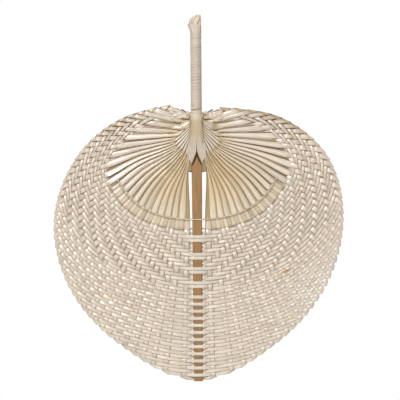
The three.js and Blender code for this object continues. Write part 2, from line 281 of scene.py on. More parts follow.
@dataclass
class Ribbon:
    """Rings along a path that the sweep closes into one strip, in millimetres.

    Attributes:
        centre: Middle of each ring.
        across: Half of the ring's width, as a vector.
        through: Half of the ring's thickness, as a vector.
        ridge: How far a lengthwise crease stands up in the ring's middle.
        travel: Length run since the path's start.
        tone: Lighter above 0 and darker below.
        gold: Share of the golden colour.
        rim: Strength of the brown along both edges.
    """

    centre: Array
    across: Array
    through: Array
    ridge: Array
    travel: Array
    tone: Array
    gold: Array
    rim: Array

    @staticmethod
    def along(
        centre: Array, facing: Array, half: Values, half_thickness: float,
        ridge: Values = 0.0, tone: Values = 0.0, gold: Values = 0.0, rim: Values = 0.4,
    ) -> "Ribbon":
        """Lays a strip along a path.

        Args:
            centre: Points of the path.
            facing: Where the strip's face looks, one vector or one for each point.
            half: Half of its width.
            half_thickness: Half of its thickness.
            ridge: Height of the lengthwise crease, towards the facing.
            tone: Lightness.
            gold: Share of the golden colour.
            rim: Strength of the brown along both edges.

        Returns:
            The strip's rings.
        """
        count = len(centre)
        along = unit(np.gradient(centre, axis=0))
        looks = np.broadcast_to(np.asarray(facing, float), (count, 3))
        face = unit(looks - np.sum(looks * along, axis=1, keepdims=True) * along)
        return Ribbon(
            centre=centre, across=np.cross(face, along) * spread(half, count)[:, None],
            through=face * half_thickness, ridge=face * spread(ridge, count)[:, None],
            travel=run_length(centre), tone=spread(tone, count), gold=spread(gold, count),
            rim=spread(rim, count),
        )

    @staticmethod
    def joined(parts: Sequence["Ribbon"], travel_start: float) -> "Ribbon":
        """Joins strips end to end into one path.

        Args:
            parts: The strips in order.
            travel_start: Travel at the first ring, so that no two strips share their grain.

        Returns:
            One strip through all the rings.
        """
        names = [item.name for item in fields(Ribbon)]
        rings = {name: np.concatenate([getattr(part, name) for part in parts]) for name in names}
        rings["travel"] = travel_start + run_length(rings["centre"])
        return Ribbon(**rings)

    def turned_round(self) -> "Ribbon":
        """The same strip run the other way, with its width vectors turned round."""
        rings = {item.name: getattr(self, item.name)[::-1] for item in fields(self)}
        return Ribbon(**{**rings, "across": -rings["across"]})

    def lean(self, amount: Array) -> None:
        """Tips the strip's sides towards the front and the back by an amount at each ring."""
        self.across += FRONT * amount[:, None]


class NodeBoard:
    """Adds nodes to a node tree and links their sockets."""

    def __init__(self, tree: bpy.types.NodeTree) -> None:
        """Keeps the tree that the nodes go into."""
        self.tree = tree

    def add(self, kind: str, inputs: dict[str | int, Any] | None = None, **settings: Any) -> bpy.types.Node:
        """Adds a node.

        Args:
            kind: The node's type.
            inputs: A value or a socket for each named or numbered input.
            **settings: Properties of the node.

        Returns:
            The new node.
        """
        node = self.tree.nodes.new(kind)
        for name, value in settings.items():
            setattr(node, name, value)
        for key, value in (inputs or {}).items():
            self.feed(node.inputs[key], value)
        return node

    def feed(self, socket: Socket, value: Any) -> None:
        """Links a socket to the input, or sets the input's own value.

        Args:
            socket: The input.
            value: A socket, or a plain value.
        """
        if isinstance(value, Socket):
            self.tree.links.new(value, socket)
        else:
            socket.default_value = value

    def math(self, operation: str, first: Any, second: Any = 0.0) -> Socket:
        """Adds a Math node and gives its result."""
        return self.add("ShaderNodeMath", {0: first, 1: second}, operation=operation).outputs[0]

    def scaled(self, vector: Any, factor: Any) -> Socket:
        """Scales a vector by a factor."""
        node = self.add("ShaderNodeVectorMath", {"Vector": vector, "Scale": factor}, operation="SCALE")
        return node.outputs["Vector"]

    def summed(self, first: Any, second: Any) -> Socket:
        """Adds two vectors."""
        return self.add("ShaderNodeVectorMath", {0: first, 1: second}, operation="ADD").outputs["Vector"]


class GeometryBoard(NodeBoard):
    """Nodes of a Geometry Nodes tree."""

    def stored(self, name: str, kind: str = "FLOAT_VECTOR") -> Socket:
        """Reads an attribute of the geometry."""
        node = self.add("GeometryNodeInputNamedAttribute", {"Name": name}, data_type=kind)
        return node.outputs["Attribute"]

    def store(
        self, geometry: Any, name: str, value: Any, kind: str = "FLOAT_VECTOR", domain: str = "POINT"
    ) -> Socket:
        """Writes an attribute of a kind on a domain and hands the geometry on."""
        inputs = {"Geometry": geometry, "Name": name, "Value": value}
        return self.add("GeometryNodeStoreNamedAttribute", inputs, data_type=kind, domain=domain).outputs[0]


class ShaderBoard(NodeBoard):
    """Nodes of a material, of a shader node group or of the world."""

    def attribute(self, name: str) -> Socket:
        """Reads one of the piece's own attributes."""
        return self.add("ShaderNodeAttribute", attribute_name=name).outputs["Fac"]

    def mixed(self, share: Any, first: Any, second: Any) -> Socket:
        """Mixes two colours.

        Args:
            share: Share of the second colour.
            first: The first colour.
            second: The second colour.

        Returns:
            The mixed colour.
        """
        node = self.add("ShaderNodeMix", {"Factor": share}, data_type="RGBA")
        colours = [socket for socket in node.inputs if socket.type == "RGBA"]
        for socket, colour in zip(colours, (first, second)):
            self.feed(socket, colour)
        return next(socket for socket in node.outputs if socket.type == "RGBA")

    def ranged(
        self, value: Any, start: Any, end: Any, first: Any, last: Any, kind: str = "SMOOTHSTEP"
    ) -> Socket:
        """Turns a value's range into one from first to last, and stops at both of its ends."""
        ends = {"Value": value, "From Min": start, "From Max": end, "To Min": first, "To Max": last}
        return self.add("ShaderNodeMapRange", ends, interpolation_type=kind).outputs["Result"]


class RibbonSweep:
    """The Geometry Nodes tree that closes rings along paths into strips."""

    VECTORS = ("across", "through", "ridge")
    NUMBERS = ("travel", "tone", "gold", "rim")
    SCRATCH = ("across", "through", "ridge", "travel", "middle", "profile")
    LEVEL_SHARE = 0.5

    def __init__(self) -> None:
        """Builds the tree once."""
        self.tree = bpy.data.node_groups.new("ribbon_sweep", "GeometryNodeTree")
        self.inputs: dict[str, str] = {}
        self._sockets()
        self._nodes()

    def _sockets(self) -> None:
        """Names the tree's inputs and its output."""
        face = self.tree.interface
        face.new_socket("Geometry", in_out="INPUT", socket_type="NodeSocketGeometry")
        for name, kind in (
            ("Profile Sides", "NodeSocketInt"),
            ("Roundness", "NodeSocketFloat"),
            ("Finish", "NodeSocketMaterial"),
        ):
            self.inputs[name] = face.new_socket(name, in_out="INPUT", socket_type=kind).identifier
        face.new_socket("Geometry", in_out="OUTPUT", socket_type="NodeSocketGeometry")

    def _nodes(self) -> None:
        """Places the tree's nodes."""
        board = GeometryBoard(self.tree)
        start = board.add("NodeGroupInput").outputs
        place = board.add("GeometryNodeInputPosition").outputs["Position"]
        kept = board.store(start["Geometry"], "middle", place)
        path = board.add("GeometryNodeMeshToCurve", {"Mesh": kept}).outputs["Curve"]
        ring = board.add(
            "GeometryNodeCurvePrimitiveCircle",
            {"Resolution": start["Profile Sides"], "Radius": 1.0}, mode="RADIUS",
        ).outputs["Curve"]
        profile = board.store(ring, "profile", place)
        swept = board.add(
            "GeometryNodeCurveToMesh", {"Curve": path, "Profile Curve": profile, "Fill Caps": True}
        ).outputs["Mesh"]
        corner = board.add("ShaderNodeSeparateXYZ", {0: board.stored("profile")})
        wide = self._flattened(board, corner.outputs["X"], start["Roundness"])
        deep = self._flattened(board, corner.outputs["Y"], start["Roundness"])
        crease = board.math("SUBTRACT", self.LEVEL_SHARE, board.math("ABSOLUTE", wide))
        offsets = zip(self.VECTORS, (wide, deep, crease))
        side, depth, ridge = (board.scaled(board.stored(name), share) for name, share in offsets)
        position = board.summed(board.stored("middle"), board.summed(board.summed(side, depth), ridge))
        shaped = board.add("GeometryNodeSetPosition", {"Geometry": swept, "Position": position})
        grain = board.add("ShaderNodeCombineXYZ", {"X": board.stored("travel", "FLOAT"), "Y": wide})
        mapped = board.store(shaped.outputs["Geometry"], "UVMap", grain.outputs["Vector"], "FLOAT2", "CORNER")
        soft = board.add("GeometryNodeSetShadeSmooth", {"Geometry": mapped, "Shade Smooth": True})
        real = board.add("GeometryNodeRealizeInstances", {"Geometry": soft.outputs["Geometry"]})
        dressed = board.add(
            "GeometryNodeSetMaterial",
            {"Geometry": real.outputs["Geometry"], "Material": start["Finish"]},
        )
        board.add("NodeGroupOutput", {"Geometry": dressed.outputs["Geometry"]})

    @staticmethod
    def _flattened(board: GeometryBoard, share: Any, roundness: Any) -> Socket:
        """Pushes a circle's coordinate outwards, so that the profile gets flat faces."""
        size = board.math("POWER", board.math("ABSOLUTE", share), roundness)
        return board.math("MULTIPLY", board.math("SIGN", share), size)

    def build(
        self, name: str, ribbons: Sequence[Ribbon], finish: bpy.types.Material,
        sides: int = 12, roundness: float = 1.0,
    ) -> bpy.types.Object:
        """Sweeps ribbons into one plain mesh.

        Args:
            name: The piece's name.
            ribbons: The strips that the piece is made of.
            finish: Its material.
            sides: Corners of the profile, a multiple of four.
            roundness: 1 for an oval profile, less for flatter faces.

        Returns:
            The finished piece at the origin.
        """
        paths = self._paths(name, ribbons)
        holder = bpy.data.objects.new(name + "_path", paths)
        scene.collection.objects.link(holder)
        modifier = holder.modifiers.new("sweep", "NODES")
        modifier.node_group = self.tree
        for setting, value in (("Profile Sides", sides), ("Roundness", roundness), ("Finish", finish)):
            modifier[self.inputs[setting]] = value
        graph = bpy.context.evaluated_depsgraph_get()
        mesh = bpy.data.meshes.new_from_object(holder.evaluated_get(graph))
        mesh.name = name
        for scratch in self.SCRATCH:
            mesh.attributes.remove(mesh.attributes[scratch])
        bpy.data.objects.remove(holder)
        bpy.data.meshes.remove(paths)
        piece = bpy.data.objects.new(name, mesh)
        scene.collection.objects.link(piece)
        return piece

    def _paths(self, name: str, ribbons: Sequence[Ribbon]) -> bpy.types.Mesh:
        """Writes the ribbons' rings as a mesh of edges with attributes.

        Args:
            name: The piece's name.
            ribbons: The strips.

        Returns:
            The mesh of paths.
        """
        mesh = bpy.data.meshes.new(name + "_path")
        points = np.concatenate([ribbon.centre for ribbon in ribbons]) * MM
        breaks = set(np.cumsum([len(ribbon.centre) for ribbon in ribbons]) - 1)
        edges = [(index, index + 1) for index in range(len(points)) if index not in breaks]
        mesh.from_pydata(points.tolist(), edges, [])
        vectors = [(attribute, "FLOAT_VECTOR", "vector", MM) for attribute in self.VECTORS]
        numbers = [(attribute, "FLOAT", "value", 1.0) for attribute in self.NUMBERS]
        for attribute, kind, key, scale in vectors + numbers:
            rows = np.concatenate([getattr(ribbon, attribute) for ribbon in ribbons]) * scale
            layer = mesh.attributes.new(attribute, kind, "POINT")
            layer.data.foreach_set(key, rows.astype(np.float32).ravel())
        return mesh


@dataclass(frozen=True)
class WeaveRule:
    """Where every strip of the blade runs, as the CAD part has it.

    A reach is a distance from the neck point, and an angle is counted in degrees from straight down.
    """

    strip_count: int = 42
    strip_width: float = 4.2
    pair_starts: tuple[int, ...] = (1, 6, 10, 14)
    first_single_row: int = 18
    first_plain_row: int = 16
    twill: int = 2
    neck_z: float = -74.0
    reach_step: float = 20.0
    reaches: Pair = Pair(
        (241.5, 221.0, 198.0, 167.0, 127.0, 89.5, 61.0, 46.0, 31.0),
        (241.5, 221.0, 198.0, 170.0, 138.0, 97.5, 61.0, 43.0, 31.0),
    )
    inner_reach_spine: float = 89.7
    inner_reach_side: float = 98.5
    inner_side_angle: float = 56.0
    lobe_inner_share: float = 0.68
    inner_edge_rounding: float = 3.0
    first_fold_angle: float = 3.5
    last_fold_angle: float = 170.0
    fold_span: float = 97.0
    fold_tail: float = 6.0
    fold_samples: int = 17001
    spine_evening: float = 10.0
    small_turn: float = 0.5

    def edge_reach(self, side: Side, angle: Values) -> Array:
        """Reach of the blade's edge, a smooth curve through the listed reaches.

        Args:
            side: The blade's half.
            angle: Where it is wanted.

        Returns:
            The reach at each angle.
        """
        values = np.array(self.reaches.at(side))
        position = np.asarray(angle, float) / self.reach_step
        index = np.floor(position).astype(int)
        share = position - index
        before, here, after, beyond = (
            values[np.minimum(np.abs(index + step), len(values) - 1)] for step in (-1, 0, 1, 2)
        )
        square = 2 * before - 5 * here + 4 * after - beyond
        cube = 3 * here - before - 3 * after + beyond
        return (2 * here + (after - before) * share + square * share**2 + cube * share**3) / 2

    def inner_reach(self, side: Side, angle: Values) -> Array:
        """Reach of the weave's inner edge, where the open rays end.

        Args:
            side: The blade's half.
            angle: Where it is wanted.

        Returns:
            The reach at each angle.
        """
        towards_spine = np.cos(np.minimum(angle / self.inner_side_angle, 1) * np.pi / 2) ** 2
        open_reach = self.inner_reach_side + (self.inner_reach_spine - self.inner_reach_side) * towards_spine
        lobe = self.edge_reach(side, angle) * self.lobe_inner_share
        rounding = self.inner_edge_rounding
        return -rounding * np.log(np.exp(-open_reach / rounding) + np.exp(-lobe / rounding))

    def fold_fullness(self, angle: Values) -> Values:
        """How full the weave still is at an angle, with no scale."""
        turned = np.hypot(angle, self.spine_evening) - self.spine_evening
        return np.log(1 + np.exp(self.fold_tail * (1 - turned / self.fold_span))) / self.fold_tail

    def rows_at(self, angle: Values) -> Values:
        """How many rows still run at an angle."""
        return self.strip_count * self.fold_fullness(angle) / self.fold_fullness(self.first_fold_angle)

    def fold_angle(self, row: float) -> float:
        """Angle at which a row is folded."""
        angles = np.linspace(0, self.last_fold_angle, self.fold_samples)
        return float(np.interp(-(row + 1), -self.rows_at(angles), angles))

    def row_pitch(self, side: Side, angle: Values) -> Array:
        """Distance between rows along a line from the neck."""
        band = self.edge_reach(side, angle) - self.strip_width / 2 - self.inner_reach(side, angle)
        return band / self.rows_at(angle)

    def row_reach(self, side: Side, row: float, angle: Values) -> Array:
        """Reach of a row from the neck point."""
        return self.inner_reach(side, angle) + self.row_pitch(side, angle) * (row + 1)

    def polar(self, side: Side, reach: Values, angle: Values) -> Array:
        """Points of the blade's plane, x and z, from reach and angle."""
        turn = np.radians(angle)
        return np.stack([side.value * reach * np.sin(turn), self.neck_z - reach * np.cos(turn)], axis=-1)

    def bounded(self, angle: Array) -> Array:
        """Angles kept between the spine and the last fold."""
        return np.clip(angle, 0, self.last_fold_angle)

    def reach_and_angle(self, side: Side, points: Array) -> tuple[Array, Array]:
        """Reach and angle of points of the blade's plane."""
        wide, down = side.value * points[..., 0], self.neck_z - points[..., 1]
        return np.hypot(wide, down), np.degrees(np.arctan2(wide, down))

    def row_index(self, side: Side, points: Array) -> Array:
        """How many rows lie between the open rays and each point.

        Args:
            side: The blade's half.
            points: The points.

        Returns:
            The rows' number, whole on a row and below 0 in the open.
        """
        reach, angle = self.reach_and_angle(side, points)
        bounded = self.bounded(angle)
        return (reach - self.inner_reach(side, bounded)) / self.row_pitch(side, bounded) - 1

    def fold_point(self, side: Side, row: int) -> Array:
        """Where a strip is folded at the blade's edge."""
        fold = self.fold_angle(row)
        return self.polar(side, self.row_reach(side, row, fold), fold)

    def is_in_front(self, row: int) -> bool:
        """Whether a row crosses in front of the spine."""
        paired = any(row in (start, start + 1) for start in self.pair_starts)
        return paired or (row >= self.first_single_row and (row - self.first_single_row) % 2 == 0)

    def row_over(self, row: int, ray: int) -> int:
        """1 where a row goes over a ray and -1 where it goes under, first in twos and later in ones."""
        group, place = (self.twill, row - ray) if row < self.first_plain_row else (1, row + ray)
        return 1 if place % (2 * group) < group else -1


@dataclass
class RayCourse:
    """The way of every ray from the collar over the gather's seam to its fold, in the blade's plane.

    Every second ray lies on top of its neighbours, which come out from under it at the row strand. Starts and
    seam are listed from the spine outwards, as distances from the middle and heights.
    """

    rule: WeaveRule
    starts: tuple[Double, ...] = (
        (4.2, -72.0), (5.2, -71.5), (6.0, -70.5), (6.4, -68.5), (6.5, -66.0), (6.5, -63.0), (6.4, -60.0),
        (6.2, -56.5), (5.8, -50.0),
    )
    seam: tuple[Double, ...] = (
        (8.4, -97.0), (9.2, -92.0), (11.5, -87.5), (15.2, -84.0), (19.0, -81.6), (21.2, -77.6), (21.8, -72.6),
        (17.5, -63.8), (8.5, -51.0),
    )
    seam_stretch: Pair = Pair(1.0, 1.12)
    bend_run: float = 5.0
    bend_rounds: int = 3
    bow: float = 3.0
    bow_from: float = 0.25
    bow_rise: Ramp = Ramp(4, 26)
    bow_end: Ramp = Ramp(60, 88)
    least_reach: float = 1.0
    step: float = 0.85
    lines: dict[tuple[Side, int], Array] = field(default_factory=dict)

    @staticmethod
    def is_on_top(row: int) -> bool:
        """Whether a ray lies on top of its neighbours."""
        return row % 2 == 0

    def _between(self, points: tuple[Double, ...], row: int) -> Array:
        """A ray's place among the listed points, as if on the right."""
        place = (1 - row / (self.rule.strip_count - 1)) * (len(points) - 1)
        return np.array([np.interp(place, np.arange(len(points)), column) for column in zip(*points)])

    def _seam_point(self, side: Side, row: int) -> Array:
        """Where a ray crosses the gather's seam."""
        return self._between(self.seam, row) * (side.value * self.seam_stretch.at(side), 1.0)

    def line(self, side: Side, row: int) -> Array:
        """Evenly spaced points of a ray.

        Args:
            side: The blade's half.
            row: The ray's strip.

        Returns:
            The points from the collar to the fold.
        """
        if (side, row) not in self.lines:
            start = self._between(self.starts, row) * (side.value, 1.0)
            turn = self._seam_point(side, row)
            end = self.rule.fold_point(side, row)
            before = turn + unit(start - turn) * self.bend_run
            after = turn + unit(end - turn) * self.bend_run
            bend = rounded_corners(np.array([before, turn, after]), self.bend_rounds)
            straight = evenly(np.concatenate([start[None], bend, end[None]]), self.step)
            self.lines[side, row] = self._bowed(side, straight)
        return self.lines[side, row]

    def _bowed(self, side: Side, points: Array) -> Array:
        """Bows a ray away from the spine between the seam and the weave.

        Args:
            side: The blade's half.
            points: The straight ray.

        Returns:
            The bowed ray.
        """
        reach, angle = self.rule.reach_and_angle(side, points)
        share = np.clip((self.openness(side, points) - self.bow_from) / (1 - self.bow_from), 0, 1)
        swing = self.bow * np.sin(np.pi * share) ** 2 * self.bow_rise(angle) * self.bow_end.fall(angle)
        return self.rule.polar(side, reach, angle + np.degrees(swing / np.maximum(reach, self.least_reach)))

    def room(self, side: Side, row: int, apart: int) -> Array:
        """Mean distance from a ray's points to the rays so many places away on both sides.

        Args:
            side: The blade's half.
            row: The ray's strip.
            apart: How many places away the other rays are.

        Returns:
            The distance at each point.
        """
        points = self.line(side, row)
        rooms = []
        for other in (row - apart, row + apart):
            if 0 <= other < self.rule.strip_count:
                away = points[:, None] - self.line(side, other)[None]
                rooms.append(np.min(np.hypot(away[..., 0], away[..., 1]), axis=1))
        return np.mean(rooms, axis=0)

    def openness(self, side: Side, points: Array) -> Array:
        """Reach of points as a share of the weave's inner edge."""
        reach, angle = self.rule.reach_and_angle(side, points)
        return reach / self.rule.inner_reach(side, self.rule.bounded(angle))

    def seam_index(self, side: Side, row: int) -> int:
        """Index of the ray's point that is nearest to the seam."""
        away = self.line(side, row) - self._seam_point(side, row)
        return int(np.argmin(np.hypot(away[:, 0], away[:, 1])))

    def crossing_angle(self, side: Side, row: int, ray: int) -> float:
        """Angle at which a row crosses a ray."""
        index = np.maximum.accumulate(self.rule.row_index(side, self.line(side, ray)))
        return float(np.interp(row, index, self.rule.reach_and_angle(side, self.line(side, ray))[1]))


class BambooSurface:
    """The shader node group of split bamboo: fibres, tint, and brown rims that are partly the strips' own
    colour and partly painted shade between strips.
    """

    COLOURS = ("Pale", "Golden", "Edge")
    NUMBERS = ("Edge From", "Edge Share", "Fibres Across", "Fibres Along", "Fibre Share")
    NOISE = {"Scale": 1.0, "Detail": 3.0, "Roughness": 0.6}
    NOISE_MIDDLE = 0.5
    NOISE_SPREAD = 4.0

    def __init__(self) -> None:
        """Builds the group once."""
        self.tree = bpy.data.node_groups.new("bamboo_surface", "ShaderNodeTree")
        face = self.tree.interface
        for name in self.COLOURS:
            face.new_socket(name, in_out="INPUT", socket_type="NodeSocketColor")
        for name in self.NUMBERS:
            face.new_socket(name, in_out="INPUT", socket_type="NodeSocketFloat")
        face.new_socket("Colour", in_out="OUTPUT", socket_type="NodeSocketColor")
        for name in ("Light", "Fibre", "Rim"):
            face.new_socket(name, in_out="OUTPUT", socket_type="NodeSocketFloat")
        self._nodes()

    def _nodes(self) -> None:
        """Places the nodes that give the colour, its light, the fibres and the rim."""
        board = ShaderBoard(self.tree)
        start = board.add("NodeGroupInput").outputs
        grain = board.add("ShaderNodeUVMap", uv_map="UVMap").outputs["UV"]
        place = board.add("ShaderNodeSeparateXYZ", {0: grain})
        rim = board.math("ABSOLUTE", place.outputs["Y"])
        worn = board.ranged(rim, start["Edge From"], 1.0, 0.0, start["Edge Share"])
        tinted = board.mixed(board.attribute("gold"), start["Pale"], start["Golden"])
        # Brown along the rims: partly the strips' own colour and partly painted shade in the gaps between
        # strips.
        colour = board.mixed(board.math("MULTIPLY", worn, board.attribute("rim")), tinted, start["Edge"])
        stretched = board.add(
            "ShaderNodeCombineXYZ",
            {
                "X": board.math("MULTIPLY", place.outputs["X"], start["Fibres Along"]),
                "Y": board.math("MULTIPLY", place.outputs["Y"], start["Fibres Across"]),
            },
        )
        noise = board.add("ShaderNodeTexNoise", {"Vector": stretched.outputs["Vector"], **self.NOISE})
        centred = board.math("SUBTRACT", noise.outputs["Fac"], self.NOISE_MIDDLE)
        fibre = board.math("MULTIPLY", centred, self.NOISE_SPREAD)
        streaks = board.math("MULTIPLY", fibre, start["Fibre Share"])
        light = board.math("ADD", 1.0, board.math("ADD", streaks, board.attribute("tone")))
        board.add("NodeGroupOutput", {"Colour": colour, "Light": light, "Fibre": fibre, "Rim": rim})


@dataclass(frozen=True)
class Stain:
    """A brown spot on the weave, with its place and half sizes in metres."""

    place: Triple = (0.0883, -0.001, -0.206)
    slant: float = 20.0
    half_sizes: Triple = (0.0064, 0.02, 0.0019)
    colour: Colour = (0.434, 0.209, 0.048, 1.0)
    share: float = 0.75
    full_to: float = 0.5

    def strength(self, board: ShaderBoard) -> Socket:
        """Places the nodes that measure how deep in the spot a point lies.

        Args:
            board: The material's board.

        Returns:
            The share of the spot's colour, 0 outside it.
        """
        turned = board.add(
            "ShaderNodeMapping",
            {
                "Vector": board.add("ShaderNodeTexCoord").outputs["Object"], "Location": self.place,
                "Rotation": (0.0, -math.radians(self.slant), 0.0), "Scale": self.half_sizes,
            },
            vector_type="TEXTURE",
        )
        away = board.add("ShaderNodeVectorMath", {0: turned.outputs["Vector"]}, operation="LENGTH")
        return board.ranged(away.outputs["Value"], self.full_to, 1.0, self.share, 0.0, "LINEAR")


@dataclass(frozen=True)
class Pleats:
    """Two fine lines along a strip whose edges are browner than most."""

    share: float = 0.5
    place: float = 0.42
    reach: float = 0.12
    least_rim: float = 0.6

    def strength(self, board: ShaderBoard, rim: Any) -> Socket:
        """Places the nodes that draw the lines.

        Args:
            board: The material's board.
            rim: How near a point lies to the strip's rim.

        Returns:
            The share of the lines' colour.
        """
        away = board.math("ABSOLUTE", board.math("SUBTRACT", rim, self.place))
        line = board.ranged(away, 0.0, self.reach, self.share, 0.0)
        brown = board.math("MINIMUM", board.math("SUBTRACT", board.attribute("rim"), self.least_rim), 1.0)
        return board.math("MULTIPLY", line, board.math("MAXIMUM", brown, 0.0))


@dataclass(frozen=True)
class BambooFinish:
    """A finish of split bamboo, set by its colours and shares."""

    name: str
    pale: Colour
    golden: Colour
    edge: Colour
    edge_from: float = 0.6
    edge_share: float = 0.95
    fibre_share: float = 0.24
    fibres_across: float = 3.0
    fibres_along: float = 0.06
    relief: float = 0.3
    fibre_height: float = 0.0002
    roughness: float = 0.25
    gloss: float = 0.8
    pleats: Pleats | None = None
    stain: Stain | None = None

    def material(self, surface: BambooSurface) -> bpy.types.Material:
        """Builds the material.

        Args:
            surface: The shader node group of split bamboo.

        Returns:
            The material.
        """
        material = bpy.data.materials.new(self.name)
        material.use_nodes = True
        material.node_tree.nodes.clear()
        board = ShaderBoard(material.node_tree)
        shares = (self.edge_from, self.edge_share, self.fibres_across, self.fibres_along, self.fibre_share)
        values = dict(zip(surface.COLOURS + surface.NUMBERS, (self.pale, self.golden, self.edge) + shares))
        bamboo = board.add("ShaderNodeGroup", values, node_tree=surface.tree).outputs
        colour = bamboo["Colour"]
        if self.pleats:
            colour = board.mixed(self.pleats.strength(board, bamboo["Rim"]), colour, self.edge)
        if self.stain:
            colour = board.mixed(self.stain.strength(board), colour, self.stain.colour)
        relief = {"Strength": self.relief, "Distance": self.fibre_height, "Height": bamboo["Fibre"]}
        bump = board.add("ShaderNodeBump", relief)
        shader = board.add(
            "ShaderNodeBsdfPrincipled",
            {
                "Base Color": board.scaled(colour, bamboo["Light"]), "Roughness": self.roughness,
                "Specular IOR Level": self.gloss, "Normal": bump.outputs["Normal"],
            },
        )
        board.add("ShaderNodeOutputMaterial", {"Surface": shader.outputs["BSDF"]})
        return material


FINISHES: dict[Slot, BambooFinish] = {
    Slot.STRIP: BambooFinish(
        "bamboo_strip", srgb(226, 214, 198), srgb(208, 178, 118), srgb(104, 66, 24),
        pleats=Pleats(), stain=Stain(),
    ),
    Slot.GATHER: BambooFinish("bamboo_gather", srgb(220, 206, 186), srgb(198, 166, 112), srgb(88, 50, 14)),
    Slot.SPINE: BambooFinish(
        "bamboo_slat", srgb(166, 128, 86), srgb(92, 58, 30), srgb(130, 92, 56), edge_from=0.8,
        fibre_share=0.3, fibres_across=4.0, fibres_along=0.03, relief=0.25, roughness=0.6, gloss=0.25,
    ),
    Slot.WRAP: BambooFinish(
        "bamboo_wrap", srgb(214, 203, 188), srgb(206, 188, 156), srgb(140, 114, 80), edge_from=0.7,
        roughness=0.45, gloss=0.4,
    ),
    Slot.STRAND: BambooFinish("bamboo_strand", srgb(226, 212, 184), srgb(196, 165, 108), srgb(120, 86, 46)),
}


@dataclass
class Workshop:
    """What every sub-assembly needs: the rule, the sweep, the materials and the random numbers."""

    rule: WeaveRule = field(default_factory=WeaveRule)
    sweep: RibbonSweep = field(default_factory=RibbonSweep)
    random: np.random.Generator = field(default_factory=lambda: np.random.default_rng(SEED))
    course: RayCourse = field(init=False)
    materials: dict[Slot, bpy.types.Material] = field(init=False)

    def __post_init__(self) -> None:
        """Lays out the rays and makes one material for each slot."""
        self.course = RayCourse(self.rule)
        surface = BambooSurface()
        self.materials = {slot: finish.material(surface) for slot, finish in FINISHES.items()}

    def piece(self, slot: Slot, node: str, ribbons: Sequence[Ribbon], **shape: Any) -> None:
        """Sweeps a piece and puts it on the frame in place of its CAD node.

        Args:
            slot: Its material slot.
            node: The CAD node that it stands for.
            ribbons: The strips that it is made of.
            **shape: The sweep's sides and roundness.
        """
        made = self.sweep.build(node + "_piece", ribbons, self.materials[slot], **shape)
        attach(made, "root")
        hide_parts(node)
        log.info("%s: %d strips, %d faces", made.name, len(ribbons), len(made.data.polygons))


def small_strip(stations: tuple[Triple, ...], side: Side, face: Face, depth: float, **looks: float) -> Ribbon:
    """A small creased strip through listed stations.

    Args:
        stations: Distance from the middle, height and half width along it.
        side: Which half of the fan.
        face: The blade's face.
        depth: How far it lies from the blade's middle.
        **looks: Its tone, gold and rim.

    Returns:
        The strip.
    """
    rows = np.array(stations)
    points = evenly(rounded_corners(rows[:, :2], SMALL_ROUNDS), SMALL_STEP)
    half = np.interp(-points[:, 1], -rows[:, 1], rows[:, 2])
    path = in_space(points * (side.value, 1.0), face.value * depth)
    facing, ridge = face.value * FRONT, half * SMALL_RIDGE
    return Ribbon.along(path, facing, half, SMALL_HALF_THICKNESS, ridge=ridge, **looks)


@dataclass
class Spine:
    """The brown slat that the weave is laid over, with dark strips by its pointed top as a painted shadow."""

    shop: Workshop
    top_z: float = -46.0
    shoulder_z: float = -97.0
    shoulder_height: float = 14.0
    tip_z: float = -315.2
    tang_width: float = 4.6
    neck_width: float = 10.4
    tip_width: float = 8.6
    thickness: float = 3.0
    step: float = 2.0
    sides: int = 24
    roundness: float = 0.35
    # Dark strips along the slat's pointed top: a painted shadow in the gap between the petals and the slat.
    brow: tuple[Triple, ...] = ((0.1, -85.2, 0.3), (0.4, -88.2, 0.75), (2.4, -93.6, 0.9), (5.0, -98.8, 0.5))
    brow_depth: float = 2.9
    brow_tone: float = -0.45

    def half_at(self, z: Values) -> Values:
        """Half of the slat's width at a height.

        Args:
            z: The height or heights.

        Returns:
            The half width there.
        """
        height = np.asarray(z, float)
        share = (height - self.tip_z) / (self.shoulder_z - self.tip_z)
        width = self.tip_width + (self.neck_width - self.tip_width) * share
        above = Ramp(self.shoulder_z, self.shoulder_z + self.shoulder_height)(height)
        return (width + (self.tang_width - width) * above) / 2

    def build(self) -> None:
        """Sweeps the slat from its tang inside the collar to the tip."""
        heights = np.append(np.arange(self.top_z, self.tip_z, -self.step), self.tip_z)
        path = np.stack([np.zeros_like(heights), np.zeros_like(heights), heights], axis=1)
        slat = Ribbon.along(path, FRONT, self.half_at(heights), self.thickness / 2)
        # Painted shadow: dark strips in the gap between the petals and the slat's top.
        painted_shadows = [
            small_strip(self.brow, side, face, self.brow_depth, tone=self.brow_tone, gold=1.0, rim=0.0)
            for side in Side
            for face in Face
        ]
        self.shop.piece(Slot.SPINE, "spine_slat", [slat, *painted_shadows], sides=self.sides, roundness=self.roundness)


@dataclass(frozen=True)
class Fold:
    """A strip's fold at the blade's edge, in the blade's plane.

    Directions lead away from the point where the strip's middle turns. The crease runs along a strip by the
    steepest share at most, and the strip's last full ring keeps its clearance from it.
    """

    point: Array
    to_neck: Array
    to_spine: Array
    crease: Array
    steepest: float = 0.93
    clearance: float = 0.4

    def _along(self, direction: Array) -> float:
        """How much the crease runs along a direction."""
        return min(abs(float(direction @ self.crease)), self.steepest)

    def back_along(self, direction: Array, half: float) -> float:
        """How far the crease reaches back along a strip of a half width."""
        along = self._along(direction)
        return half * along / math.sqrt(1 - along * along) + self.clearance

    def sheared(self, direction: Array, half: float) -> float:
        """Half of a strip's width along the crease that runs slanting across it."""
        return half / math.sqrt(1 - self._along(direction) ** 2)


